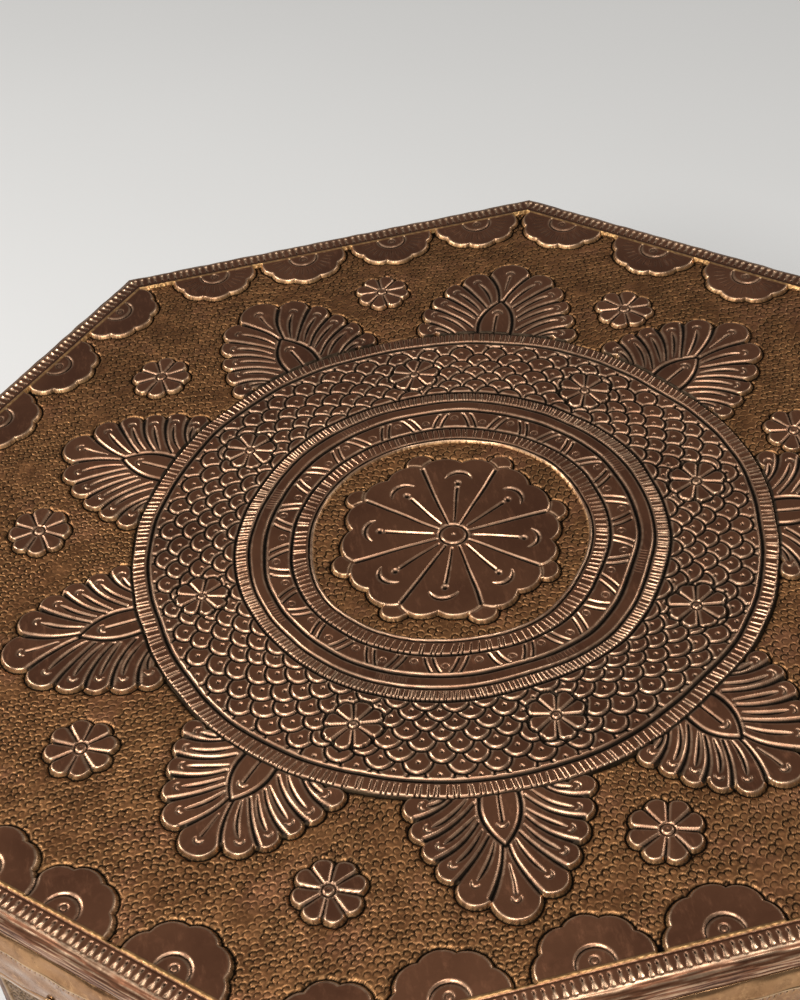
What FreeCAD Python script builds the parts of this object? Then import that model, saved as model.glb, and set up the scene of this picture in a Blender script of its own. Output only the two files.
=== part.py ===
"""Low eight-sided table of teak, clad in embossed brass sheet.

The plan is a square with cut corners: four long sides that face +X, -X, +Y and -Y, and four short
sides between them. All lengths are in millimetres, the origin is on the floor at the table's centre,
and +Z is up. Each piece is drawn for a side whose outward direction is +Y and is then turned about Z.
"""

import FreeCAD
import Part
import math
import os
import Sketcher

DRIVING_SIZES = (
    ("overall_height", 165.0, "floor to the highest brass"),
    ("long_flats", 400.0, "across the top between two long sides"),
    ("short_side_length", 151.0, "one short side of the top, along its edge"),
    ("sheet_thick", 0.8, "brass sheet"),
    ("relief_depth", 1.0, "ornament above the punched ground"),
    ("shoulder_radius", 5.0, "rounded upper edge of the top sheet"),
    ("skirt_drop", 8.5, "how far the top sheet wraps down the edge"),
    ("border_width", 11.0, "plain border between the ground and the outer edge"),
    ("crease_gap", 1.0, "gap between the top sheet and the edge strip"),
    ("flare_drop", 6.5, "height of the flared part of the edge strip"),
    ("flare_width", 2.0, "how far the edge strip flares past the top sheet"),
    ("edge_drop", 38.0, "top to the underside of the edge strip"),
    ("lip_width", 6.0, "edge strip turned in under the moulding"),
    ("moulding_width", 13.0, "edge moulding, measured in from the top sheet's edge"),
    ("board_thick", 18.0, "teak planks of the top"),
    ("middle_plank_width", 140.0, "the plank between the two outer ones"),
    ("dowel_radius", 4.0, "dowels between planks"),
    ("dowel_length", 36.0, "dowels between planks"),
    ("dowel_spacing", 110.0, "dowels between planks"),
    ("dowel_clearance", 0.1, "dowel to its hole, all round"),
    ("panel_thick", 12.0, "teak side panels"),
    ("panel_sheet_lift", 1.0, "cladding above the floor"),
    ("long_foot_width", 27.0, "one leg of a long panel"),
    ("short_foot_width", 24.0, "one leg of a short panel"),
    ("arch_spring", 34.0, "height where the arch leaves the legs"),
    ("arch_rise", 48.0, "height that places the arch's foils"),
    ("batten_width", 36.0, "battens under the planks"),
    ("batten_thick", 16.0, "battens under the planks"),
    ("batten_outset", 25.0, "batten's outer side past the panels' inner corner, along X"),
    ("batten_end_gap", 8.0, "batten end to the corner blocks, along the batten"),
    ("batten_screw_margin", 20.0, "end screws from the ends of a batten"),
    ("batten_chamfer", 2.0, "lower arrises of the battens"),
    ("block_side", 24.0, "corner block along each panel"),
    ("block_depth", 14.0, "corner block square to each panel"),
    ("block_height", 30.0, "corner block"),
    ("screw_radius", 2.0, "wood screw shank"),
    ("screw_head_radius", 4.0, "wood screw head"),
    ("screw_head_height", 2.4, "wood screw head"),
    ("screw_bite", 11.0, "screw length inside the planks"),
    ("screw_clearance", 0.1, "screw to its hole, all round"),
    ("pin_radius", 0.6, "brass pin shank"),
    ("pin_head_radius", 1.7, "brass pin head"),
    ("pin_length", 8.0, "brass pin under its head"),
    ("pin_clearance", 0.05, "pin to its hole, all round"),
    ("pin_margin", 8.0, "pin centre from the edges of the sheet"),
    ("medallion_radius", 118.0, "outer milled ring of the medallion"),
    ("medallion_right_shift", 5.6, "medallion off the table's centre, towards +X"),
    ("medallion_front_shift", 1.0, "medallion off the table's centre, towards -Y"),
    ("ring_width", 5.5, "each milled ring"),
    ("groove_width", 2.6, "plain groove beside a milled ring"),
    ("middle_ring_radius", 79.0, "outside of the middle milled ring"),
    ("inner_ring_radius", 57.5, "outside of the inner milled ring"),
    ("flower_radius", 41.0, "flower at the centre"),
    ("palmette_length", 49.0, "palmette tip past the medallion"),
    ("palmette_half_width", 30.0, "palmette across, from its middle line to the side lobes' reach"),
    ("rosette_radius", 11.5, "small flower between two palmettes"),
    ("rosette_circle_radius", 152.0, "circle that the small flowers stand on"),
    ("scallop_radius", 18.0, "half-round ornament along the border"),
    ("long_scallop_pitch", 39.5, "half-round ornaments on a long side"),
    ("short_scallop_pitch", 41.0, "half-round ornaments on a short side"),
    ("cut_overrun", 5.0, "how far a cutter runs past what it cuts"),
)
SIDE_COUNT = 8
TURN_DEGREES = 360.0 / SIDE_COUNT
# Half-round ornaments on a side, and how far the row is shifted along each like side, as a share of its pitch
LONG_SCALLOP_COUNT = 4
SHORT_SCALLOP_COUNT = 3
LONG_SCALLOP_SHIFT_SHARES = (0.12, 0.0, 0.45, 0.0)
SHORT_SCALLOP_SHIFT_SHARES = (0.33, 0.35, 0.0, -0.18)
# Directions of the hand-placed ornament: palmettes about the medallion, small flowers about the table
PALMETTE_DEGREES = (66.9, 29.3, -12.0, -60.0, -96.9, -135.4, -175.8, 144.8, 106.6)
ROSETTE_DEGREES = (84.9, 44.9, 5.6, -34.5, -75.6, -115.8, -155.9, 161.6, 124.9)
# Lobes on one half of a palmette, from the tip down: centre out and across, and radius, as shares of
# its length, its half width and its length. The tip lobe's radius is a share of the length.
LOBE_SHARES = (
    (0.745, 0.42, 0.118),
    (0.60, 0.64, 0.112),
    (0.42, 0.80, 0.108),
    (0.22, 0.90, 0.102),
    (0.035, 0.93, 0.085),
)
TIP_LOBE_SHARE = 0.165
PALMETTE_FOOT_SHARE = 0.8
# A flower's lobes and core as shares of its radius
ROSETTE_PETAL_COUNT = 8
ROSETTE_PETAL_SHARE = 0.385
ROSETTE_CORE_SHARE = 0.6
FLOWER_PETAL_COUNT = 8
FLOWER_START_DEGREES = 2.0
FLOWER_LOBE_DEGREES = (12.0, 33.0)
FLOWER_LOBE_SHARE = 0.225
FLOWER_CORE_SHARE = 0.8
BUD_REACH_SHARE = 0.98
BUD_SHARE = 0.12
# Foils of the arch: centre across and up, as shares of the half width and of the rise, and radius
# as a share of the half width.
FOIL_SHARES = ((0.70, 0.0, 0.30), (0.36, 0.385, 0.30))
CROWN_SHARES = (0.64, 0.28)
FILL_SHARES = (0.60, 0.32)
EDGE_PIN_SHARES = (-0.8, -0.27, 0.27, 0.8)

doc = FreeCAD.newDocument("low_table")
sheet = doc.addObject("Spreadsheet::Sheet", "Sizes")


class Size:
    """A length with its present value and the spreadsheet expression that drives it."""

    def __init__(self, value, text):
        self.value = float(value)
        self.text = text

    def __add__(self, other):
        return Size(self.value + other.value, f"({self.text} + {other.text})")

    def __sub__(self, other):
        return Size(self.value - other.value, f"({self.text} - {other.text})")

    def __mul__(self, factor):
        return Size(self.value * factor, f"({self.text} * {factor:.10f})")

    def __truediv__(self, divisor):
        return Size(self.value / divisor, f"({self.text} / {divisor:.10f})")

    def __neg__(self):
        return Size(-self.value, f"(-{self.text})")


def fill_sheet():
    """Writes the driving sizes into the spreadsheet and returns them by name."""
    named = {}
    for row, (alias, value, note) in enumerate(DRIVING_SIZES, start=1):
        sheet.set(f"A{row}", note)
        sheet.set(f"B{row}", str(value))
        sheet.setAlias(f"B{row}", alias)
        named[alias] = Size(value, f"Sizes.{alias}")
    doc.recompute()
    return named


S = fill_sheet()
ZERO = Size(0.0, "0")
MITRE_TAN = math.tan(math.radians(TURN_DEGREES / 2))
DIAGONAL_SHARE = math.sqrt(2)

LONG_REACH = S["long_flats"] / 2
SHORT_REACH = LONG_REACH * DIAGONAL_SHARE - S["short_side_length"] / 2
SHEET = S["sheet_thick"]
TOP = S["overall_height"]
GROUND = TOP - S["relief_depth"]
WOOD_TOP = GROUND - SHEET
BOARD_BOTTOM = WOOD_TOP - S["board_thick"]
SKIRT_BOTTOM = TOP - S["skirt_drop"]
EDGE_BOTTOM = TOP - S["edge_drop"]


class Side:
    """One kind of side, long or short, with its turns about Z."""

    def __init__(self, name, reach, other_reach, foot_width, first_turn, scallop_count, pitch, shift_shares):
        self.name = name
        self.reach = reach
        self.half = other_reach * DIAGONAL_SHARE - reach
        self.foot_width = foot_width
        self.turns = [first_turn + 2 * TURN_DEGREES * k for k in range(SIDE_COUNT // 2)]
        self.scallop_count = scallop_count
        self.pitch = pitch
        self.shift_shares = shift_shares
        self.panel_face = reach - S["moulding_width"]

    def half_at(self, distance):
        """Half the side's length on a line at this distance from the centre."""
        return self.half - (self.reach - distance) * MITRE_TAN

    def piece_name(self, kind, number):
        return f"{kind}_{self.name}_{number + 1}"


LONG = Side(
    "long",
    LONG_REACH,
    SHORT_REACH,
    S["long_foot_width"],
    0.0,
    LONG_SCALLOP_COUNT,
    S["long_scallop_pitch"],
    LONG_SCALLOP_SHIFT_SHARES,
)
SHORT = Side(
    "short",
    SHORT_REACH,
    LONG_REACH,
    S["short_foot_width"],
    TURN_DEGREES,
    SHORT_SCALLOP_COUNT,
    S["short_scallop_pitch"],
    SHORT_SCALLOP_SHIFT_SHARES,
)
nodes = []


def keep(piece, name):
    """Marks an object as a sub-part under the name of its file."""
    piece.Label = name
    nodes.append(piece)
    return piece


def turned(degrees):
    return FreeCAD.Placement(FreeCAD.Vector(), FreeCAD.Rotation(FreeCAD.Vector(0, 0, 1), degrees))


def bind(target, prop, length):
    target.setExpression(prop, length.text)


def place(target, x=ZERO, y=ZERO, z=ZERO, rotation=None):
    """Puts an object at a place that follows the sizes."""
    where = FreeCAD.Vector(x.value, y.value, z.value)
    target.Placement = FreeCAD.Placement(where, rotation or FreeCAD.Rotation())
    for axis, length in (("x", x), ("y", y), ("z", z)):
        bind(target, f"Placement.Base.{axis}", length)
    return target


# Sketches and pads


def new_sketch(body, plane, height=ZERO):
    """An empty sketch on one of the body's own planes, raised by height."""
    sketch = body.newObject("Sketcher::SketchObject", "Sketch")
    origin = [item for item in body.Origin.OriginFeatures if item.Role == plane][0]
    sketch.AttachmentSupport = [(origin, "")]
    sketch.MapMode = "FlatFace"
    bind(sketch, "AttachmentOffset.Base.z", height)
    return sketch


def hold(sketch, kind, item, point, length):
    """Fixes one coordinate of a sketch point from the origin."""
    if length.text == ZERO.text:
        axis = -2 if kind == "DistanceX" else -1
        sketch.addConstraint(Sketcher.Constraint("PointOnObject", item, point, axis))
        return
    if length.value < 0:
        number = sketch.addConstraint(Sketcher.Constraint(kind, item, point, -1, 1, -length.value))
        length = -length
    else:
        number = sketch.addConstraint(Sketcher.Constraint(kind, -1, 1, item, point, length.value))
    bind(sketch, f"Constraints[{number}]", length)


def polygon(sketch, points):
    """Adds a closed outline of straight lines through the given points."""
    corners = [FreeCAD.Vector(x.value, y.value, 0) for x, y in points]
    first = sketch.GeometryCount
    count = len(corners)
    for number in range(count):
        line = Part.LineSegment(corners[number], corners[(number + 1) % count])
        sketch.addGeometry(line, False)
    for number in range(count):
        after = first + (number + 1) % count
        sketch.addConstraint(Sketcher.Constraint("Coincident", first + number, 2, after, 1))
    for number, (x, y) in enumerate(points):
        hold(sketch, "DistanceX", first + number, 1, x)
        hold(sketch, "DistanceY", first + number, 1, y)


def circle(sketch, x, y, radius):
    centre = FreeCAD.Vector(x.value, y.value, 0)
    item = sketch.addGeometry(Part.Circle(centre, FreeCAD.Vector(0, 0, 1), radius.value), False)
    hold(sketch, "DistanceX", item, 3, x)
    hold(sketch, "DistanceY", item, 3, y)
    number = sketch.addConstraint(Sketcher.Constraint("Radius", item, radius.value))
    bind(sketch, f"Constraints[{number}]", radius)


def pad(body, sketch, length, both_ways=False):
    feature = body.newObject("PartDesign::Pad", "Pad")
    feature.Profile = sketch
    feature.Length = length.value
    bind(feature, "Length", length)
    if both_ways:
        feature.SideType = "Symmetric"
    sketch.Visibility = False
    body.Tip = feature
    return feature


def pocket(body, sketch, length):
    """Cuts downward from the sketch."""
    feature = body.newObject("PartDesign::Pocket", "Pocket")
    feature.Profile = sketch
    feature.Length = length.value
    bind(feature, "Length", length)
    body.Tip = feature
    return feature


def prism(name, points, bottom, top):
    """A body with an outline in plan, from one height to another."""
    body = doc.addObject("PartDesign::Body", name)
    sketch = new_sketch(body, "XY_Plane", bottom)
    polygon(sketch, points)
    pad(body, sketch, top - bottom)
    return body


def edges_at(shape, test):
    """Names of the edges whose middle passes the test."""
    found = []
    for number, edge in enumerate(shape.Edges, start=1):
        middle = edge.valueAt((edge.FirstParameter + edge.LastParameter) / 2)
        if test(middle, edge):
            found.append(f"Edge{number}")
    return found


def round_edges(body, radius, test):
    """Rounds the edges of the body's last feature that pass the test."""
    doc.recompute()
    base = body.Tip
    feature = body.newObject("PartDesign::Fillet", "Fillet")
    feature.Base = (base, edges_at(base.Shape, test))
    feature.Radius = radius.value
    bind(feature, "Radius", radius)
    body.Tip = feature
    return feature


def sector(side, inner, outer):
    """Plan of a mitred length of one side, between two distances from the centre."""
    low = side.half_at(inner)
    high = side.half_at(outer)
    return ((-low, inner), (low, inner), (high, outer), (-high, outer))


def octagon(inset):
    """Corners of the whole plan, set in by the given amount."""
    long_reach = LONG_REACH - inset
    short_reach = SHORT_REACH - inset
    half = short_reach * DIAGONAL_SHARE - long_reach
    corners = ((half, long_reach), (long_reach, half))
    points = []
    for x_sign, y_sign, order in ((1, 1, 1), (1, -1, -1), (-1, -1, 1), (-1, 1, -1)):
        for x, y in corners[::order]:
            points.append((x * x_sign, y * y_sign))
    return points


# Primitives and booleans


def cylinder(radius, length, x=ZERO, y=ZERO, z=ZERO, rotation=None):
    item = doc.addObject("Part::Cylinder", "Cylinder")
    bind(item, "Radius", radius)
    bind(item, "Height", length)
    return place(item, x, y, z, rotation)


def block(length, width, height, x, y, z, rotation=None):
    """A box whose place is the lowest corner."""
    item = doc.addObject("Part::Box", "Box")
    bind(item, "Length", length)
    bind(item, "Width", width)
    bind(item, "Height", height)
    return place(item, x, y, z, rotation)


def joined(kind, items):
    item = doc.addObject(kind, "Joined")
    if kind == "Part::Compound":
        item.Links = items
    else:
        item.Shapes = items
    return item


def boolean(kind, base, tool, degrees=0.0):
    item = doc.addObject(kind, "Boolean")
    item.Base = base
    item.Tool = tool
    item.Placement = turned(degrees)
    return item


ALONG_Y = FreeCAD.Rotation(FreeCAD.Vector(1, 0, 0), -90)
ACROSS_DIAMOND = FreeCAD.Rotation(FreeCAD.Vector(0, 1, 0), 45)


# Top board


def block_corner():
    """Inner corner of the panels between the +Y long side and the short side on its right."""
    distance = LONG.panel_face - S["panel_thick"]
    return LONG.half_at(distance), distance


def batten_centre_and_reach():
    """The right batten's middle line, and half its length, which stops short of the corner blocks."""
    x, y = block_corner()
    block_reach = (S["block_side"] + S["block_depth"]) / DIAGONAL_SHARE
    centre = x + S["batten_outset"] - S["batten_width"] / 2
    return centre, y - block_reach - S["batten_end_gap"]


def batten_screw_places():
    centre, reach = batten_centre_and_reach()
    step = reach - S["batten_screw_margin"]
    return [(centre * x_sign, step * y_sign) for x_sign in (-1, 1) for y_sign in (-1, 0, 1)]


def block_screw_places():
    """One screw in each corner block, half way through the block's depth."""
    x, y = block_corner()
    middle = S["block_depth"] / 2
    inward = math.radians(TURN_DEGREES / 2)
    x = x - middle * math.sin(inward)
    y = y - middle * math.cos(inward)
    return [(a * sx, b * sy) for a, b in ((x, y), (y, x)) for sx in (-1, 1) for sy in (-1, 1)]


def screw_holes(places):
    """Cutters for screws that enter the planks from below."""
    radius = S["screw_radius"] + S["screw_clearance"]
    depth = S["screw_bite"] + S["screw_clearance"] + S["cut_overrun"]
    return [cylinder(radius, depth, x, y, BOARD_BOTTOM - S["cut_overrun"]) for x, y in places]


def dowel_places():
    """Each dowel's start: two joints, three dowels in each, along Y."""
    places = []
    for sign in (-1, 1):
        for step in (-1, 0, 1):
            joint = S["middle_plank_width"] / 2 * sign
            places.append((S["dowel_spacing"] * step, joint))
    return places


def dowel_rods(radius, length):
    middle = BOARD_BOTTOM + S["board_thick"] / 2
    return [cylinder(radius, length, x, y - length / 2, middle, ALONG_Y) for x, y in dowel_places()]


def make_planks():
    edge = S["middle_plank_width"] / 2
    limit = LONG.panel_face
    clearance = S["dowel_clearance"]
    dowel_holes = dowel_rods(S["dowel_radius"] + clearance, S["dowel_length"] + clearance * 2)
    screws = screw_holes(batten_screw_places() + block_screw_places())
    holes = joined("Part::MultiFuse", dowel_holes + screws)
    whole = prism("board", octagon(S["moulding_width"]), BOARD_BOTTOM, WOOD_TOP)
    for name, low, high in (("front", -limit, -edge), ("middle", -edge, edge), ("back", edge, limit)):
        strip = block(limit * 2, high - low, S["board_thick"], -limit, low, BOARD_BOTTOM)
        plank = boolean("Part::Common", whole, strip)
        keep(boolean("Part::Cut", plank, holes), f"top_plank_{name}")
    keep(joined("Part::Compound", dowel_rods(S["dowel_radius"], S["dowel_length"])), "plank_dowels")


def make_battens():
    radius = S["screw_radius"] + S["screw_clearance"]
    bottom = BOARD_BOTTOM - S["batten_thick"]
    half = S["batten_width"] / 2
    right_centre, reach = batten_centre_and_reach()
    hole_length = S["batten_thick"] + S["cut_overrun"] * 2
    for number, sign in enumerate((-1, 1), start=1):
        centre = right_centre * sign
        low = centre - half
        high = centre + half
        plan = ((low, -reach), (high, -reach), (high, reach), (low, reach))
        body = prism("batten", plan, bottom, BOARD_BOTTOM)
        doc.recompute()
        base = body.Tip
        chamfer = body.newObject("PartDesign::Chamfer", "Chamfer")
        lower = edges_at(base.Shape, lambda middle, edge: abs(middle.z - bottom.value) < 1e-6)
        chamfer.Base = (base, lower)
        bind(chamfer, "Size", S["batten_chamfer"])
        body.Tip = chamfer
        holes = []
        for x, y in batten_screw_places():
            holes.append(cylinder(radius, hole_length, x, y, bottom - S["cut_overrun"]))
            holes.append(head_seat(x, y, bottom))
        keep(boolean("Part::Cut", body, joined("Part::MultiFuse", holes)), f"batten_{number}")


def head_seat(x, y, z):
    """Countersink for a screw head, with its mouth at z and narrowing upward."""
    item = doc.addObject("Part::Cone", "Cone")
    clearance = S["screw_clearance"]
    bind(item, "Radius1", S["screw_head_radius"] + clearance)
    bind(item, "Radius2", S["screw_radius"] + clearance)
    bind(item, "Height", S["screw_head_height"] + clearance)
    return place(item, x, y, z)


def screw(x, y, head_height, length):
    """A countersunk screw that points up, its head flush at head_height."""
    head = doc.addObject("Part::Cone", "Cone")
    bind(head, "Radius1", S["screw_head_radius"])
    bind(head, "Radius2", S["screw_radius"])
    bind(head, "Height", S["screw_head_height"])
    place(head, x, y, head_height)
    shank = cylinder(S["screw_radius"], length, x, y, head_height)
    return joined("Part::MultiFuse", [head, shank])


def make_screws():
    """Screws up through the battens and the corner blocks into the planks."""
    for name, places, thick in (
        ("batten_screws", batten_screw_places(), S["batten_thick"]),
        ("block_screws", block_screw_places(), S["block_height"]),
    ):
        length = thick + S["screw_bite"]
        screws = [screw(x, y, BOARD_BOTTOM - thick, length) for x, y in places]
        keep(joined("Part::Compound", screws), name)


def make_corner_blocks():
    """Blocks glued inside the mitres and screwed up into the planks."""
    side = S["block_side"]
    depth = S["block_depth"]
    slope = math.radians(TURN_DEGREES / 2)
    along_x = side * math.cos(slope)
    along_y = side * math.sin(slope)
    deep_x = depth * math.sin(slope)
    deep_y = depth * math.cos(slope)
    plan = (
        (ZERO, ZERO),
        (-along_x, -along_y),
        (-along_x + deep_x, -along_y - deep_y),
        (along_x - deep_x, -along_y - deep_y),
        (along_x, -along_y),
    )
    low = BOARD_BOTTOM - S["block_height"]
    corner_x, corner_y = block_corner()
    radius = S["screw_radius"] + S["screw_clearance"]
    hole_length = S["block_height"] + S["cut_overrun"] * 2
    number = 0
    for turn in range(0, SIDE_COUNT // 2):
        for mirrored in (False, True):
            number += 1
            body = prism("corner", plan, low, BOARD_BOTTOM)
            hole_y = -(depth / 2)
            hole = cylinder(radius, hole_length, ZERO, hole_y, low - S["cut_overrun"])
            seat = head_seat(ZERO, hole_y, low)
            cut = boolean("Part::Cut", body, joined("Part::MultiFuse", [hole, seat]))
            degrees = (1 if mirrored else -1) * TURN_DEGREES / 2
            x, y = (-corner_x if mirrored else corner_x), corner_y
            for _ in range(turn):
                x, y = -y, x
            rotation = FreeCAD.Rotation(FreeCAD.Vector(0, 0, 1), degrees + 2 * TURN_DEGREES * turn)
            keep(place(cut, x, y, ZERO, rotation), f"corner_block_{number}")


# Edge


def moulding_body(side):
    """Edge moulding before mitring: rounded above, flared, then upright."""
    inner = side.panel_face
    wall = side.reach - SHEET
    out = wall + S["flare_width"]
    flare_top = SKIRT_BOTTOM - S["crease_gap"]
    flare_bottom = flare_top - S["flare_drop"]
    bottom = EDGE_BOTTOM + SHEET
    body = doc.addObject("PartDesign::Body", "moulding")
    sketch = new_sketch(body, "YZ_Plane")
    polygon(
        sketch,
        (
            (inner, bottom),
            (out, bottom),
            (out, flare_bottom),
            (wall, flare_top),
            (wall, WOOD_TOP),
            (inner, WOOD_TOP),
        ),
    )
    pad(body, sketch, side.half_at(out) * 2, both_ways=True)

    def arris(middle, edge):
        return abs(middle.y - wall.value) < 1e-6 and abs(middle.z - WOOD_TOP.value) < 1e-6

    round_edges(body, S["shoulder_radius"] - SHEET, arris)
    return body


def strip_body(side):
    """Brass edge strip before mitring, with its lip turned in below."""
    wall = side.reach - SHEET
    out = wall + S["flare_width"]
    flare_top = SKIRT_BOTTOM - S["crease_gap"]
    flare_bottom = flare_top - S["flare_drop"]
    bottom = EDGE_BOTTOM + SHEET
    lip = out + SHEET - S["lip_width"]
    body = doc.addObject("PartDesign::Body", "strip")
    sketch = new_sketch(body, "YZ_Plane")
    polygon(
        sketch,
        (
            (wall, flare_top),
            (out, flare_bottom),
            (out, bottom),
            (lip, bottom),
            (lip, EDGE_BOTTOM),
            (out + SHEET, EDGE_BOTTOM),
            (out + SHEET, flare_bottom),
            (wall + SHEET, flare_top),
        ),
    )
    pad(body, sketch, side.half_at(out + SHEET) * 2, both_ways=True)
    return body


def pin_holes(side, places, face, radius):
    """Cutters for pins that enter a face of one side from outside."""
    length = S["pin_length"] + S["pin_clearance"] + S["cut_overrun"]
    start = face - S["pin_length"] - S["pin_clearance"]
    return [cylinder(radius, length, x, start, z, ALONG_Y) for x, z in places]


def pin(side, x, face, z, degrees):
    """A domed pin driven into a face of one side, then turned to that side."""
    head = doc.addObject("Part::Sphere", "Sphere")
    bind(head, "Radius", S["pin_head_radius"])
    head.Angle1 = 0
    place(head, x, face, z, ALONG_Y)
    shank = cylinder(S["pin_radius"], S["pin_length"], x, face - S["pin_length"], z, ALONG_Y)
    item = joined("Part::MultiFuse", [head, shank])
    item.Placement = turned(degrees)
    return item


def edge_pin_places(side):
    half = side.half_at(side.reach)
    height = EDGE_BOTTOM + S["pin_margin"] / 2
    return [(half * share, height) for share in EDGE_PIN_SHARES]


def make_edges():
    pins = []
    radius = S["pin_radius"] + S["pin_clearance"]
    for side in (LONG, SHORT):
        inner = side.panel_face
        face = side.reach + S["flare_width"]
        plan = prism("sector", sector(side, inner - SHEET, face + S["cut_overrun"]), ZERO, TOP)
        places = edge_pin_places(side)
        holes = joined("Part::MultiFuse", pin_holes(side, places, face, radius))
        moulding = boolean("Part::Cut", moulding_body(side), holes)
        strip = boolean("Part::Cut", strip_body(side), holes)
        for number, degrees in enumerate(side.turns):
            for kind, body in (("edge_moulding", moulding), ("edge_strip", strip)):
                keep(boolean("Part::Common", body, plan, degrees), side.piece_name(kind, number))
            pins += [pin(side, x, face, z, degrees) for x, z in places]
    keep(joined("Part::Compound", pins), "edge_pins")


# Sides


def arch_cutter(side):
    """The cusped arch between the two legs of a panel, as one cutter."""
    face = side.panel_face
    half = side.half_at(face) - side.foot_width
    start = face - S["panel_thick"] - S["cut_overrun"]
    depth = S["panel_thick"] + SHEET + S["cut_overrun"] * 2
    spring = S["arch_spring"]
    rise = S["arch_rise"]
    below = S["cut_overrun"]
    fill_half = half * FILL_SHARES[0]
    items = [
        block(half * 2, depth, spring + below, -half, start, -below),
        block(fill_half * 2, depth, spring + rise * FILL_SHARES[1], -fill_half, start, ZERO),
    ]
    for across, up, size in FOIL_SHARES:
        for sign in (-1, 1):
            x = half * (across * sign)
            items.append(cylinder(half * size, depth, x, start, spring + rise * up, ALONG_Y))
    crown_height = spring + rise * CROWN_SHARES[0]
    crown = half * CROWN_SHARES[1]
    items.append(block(crown * 2, depth, crown_height, -crown, start, ZERO))
    items.append(cylinder(crown, depth, ZERO, start, crown_height, ALONG_Y))
    diagonal = crown * DIAGONAL_SHARE
    items.append(block(crown * 2, depth, crown * 2, -diagonal, start, crown_height, ACROSS_DIAMOND))
    return joined("Part::MultiFuse", items)


def panel_pin_places(side):
    """Pins at the upper corners and middle of a panel's sheet, and down both legs."""
    margin = S["pin_margin"]
    across = side.half_at(side.panel_face) - margin
    upper = EDGE_BOTTOM - margin
    lower = S["panel_sheet_lift"] + margin
    middle = (upper + lower) / 2
    places = [(ZERO, upper)]
    for sign in (-1, 1):
        places += [(across * sign, height) for height in (upper, middle, lower)]
    return places


def make_sides():
    pins = []
    radius = S["pin_radius"] + S["pin_clearance"]
    for side in (LONG, SHORT):
        face = side.panel_face
        outside = face + SHEET
        places = panel_pin_places(side)
        holes = pin_holes(side, places, outside, radius)
        cutter = joined("Part::MultiFuse", [arch_cutter(side)] + holes)
        board = prism("panel", sector(side, face - S["panel_thick"], face), ZERO, BOARD_BOTTOM)
        skin = prism("skin", sector(side, face, outside), S["panel_sheet_lift"], EDGE_BOTTOM)
        for number, degrees in enumerate(side.turns):
            keep(boolean("Part::Cut", board, cutter, degrees), side.piece_name("side_panel", number))
            keep(boolean("Part::Cut", skin, cutter, degrees), side.piece_name("panel_sheet", number))
            pins += [pin(side, x, outside, z, degrees) for x, z in places]
    keep(joined("Part::Compound", pins), "panel_pins")


# Top sheet


def polar_place(reach, degrees):
    angle = math.radians(degrees)
    return reach * math.cos(angle), reach * math.sin(angle)


def turned_copies(item, turns):
    """Copies of an object, each turned about the vertical axis."""
    copies = []
    for degrees in turns:
        copy = joined("Part::Compound", [item])
        copy.Placement = turned(degrees)
        copies.append(copy)
    return copies


def raised_disc(x, y, radius):
    """A flat disc that stands on the ground as high as the border."""
    return cylinder(radius, S["relief_depth"], x, y, GROUND)


def raise_ring(body, outer, inner):
    """Raises a flat ring from the ground to the top."""
    sketch = new_sketch(body, "XY_Plane", GROUND)
    circle(sketch, ZERO, ZERO, outer)
    circle(sketch, ZERO, ZERO, inner)
    pad(body, sketch, S["relief_depth"])
    doc.recompute()


def rounded_tray(name, inset, bottom, top, radius):
    """An eight-sided solid with its upper edges rounded."""
    body = prism(name, octagon(inset), bottom, top)

    def upper(middle, edge):
        return abs(middle.z - top.value) < 1e-6

    round_edges(body, radius, upper)
    doc.recompute()
    return body


def central_flower():
    """Eight petals with two lobes each, and a bud behind each gap between petals."""
    radius = S["flower_radius"]
    size = radius * FLOWER_LOBE_SHARE
    petal = [raised_disc(*polar_place(radius - size, angle), size) for angle in FLOWER_LOBE_DEGREES]
    petal.append(raised_disc(radius * BUD_REACH_SHARE, ZERO, radius * BUD_SHARE))
    turn = 360.0 / FLOWER_PETAL_COUNT
    turns = [FLOWER_START_DEGREES + turn * number for number in range(FLOWER_PETAL_COUNT)]
    core = raised_disc(ZERO, ZERO, radius * FLOWER_CORE_SHARE)
    return [core] + turned_copies(joined("Part::MultiFuse", petal), turns)


def palmette():
    """Round-ended lobes fanned out from the milled ring, on the +X side."""
    start = S["medallion_radius"]
    length = S["palmette_length"]
    half = S["palmette_half_width"]
    tip = length * TIP_LOBE_SHARE
    tip_centre = start + length - tip
    lobes = [raised_disc(tip_centre, ZERO, tip)]
    upper = []
    for out, across, size in LOBE_SHARES:
        x = start + length * out
        upper.append((x, half * across))
        for sign in (-1, 1):
            lobes.append(raised_disc(x, half * (across * sign), length * size))
    upper.append((start - S["ring_width"], half * PALMETTE_FOOT_SHARE))
    lower = [(x, -y) for x, y in upper[::-1]]
    fan = prism("palmette_fan", [(tip_centre, ZERO)] + upper + lower, GROUND, TOP)
    return joined("Part::MultiFuse", [fan] + lobes)


def small_flower():
    """Eight round petals, at its place on the +X side."""
    radius = S["rosette_radius"]
    centre = S["rosette_circle_radius"]
    size = radius * ROSETTE_PETAL_SHARE
    discs = [raised_disc(centre, ZERO, radius * ROSETTE_CORE_SHARE)]
    for number in range(ROSETTE_PETAL_COUNT):
        x, y = polar_place(radius - size, 360.0 / ROSETTE_PETAL_COUNT * number)
        discs.append(raised_disc(centre + x, y, size))
    return joined("Part::MultiFuse", discs)


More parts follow.
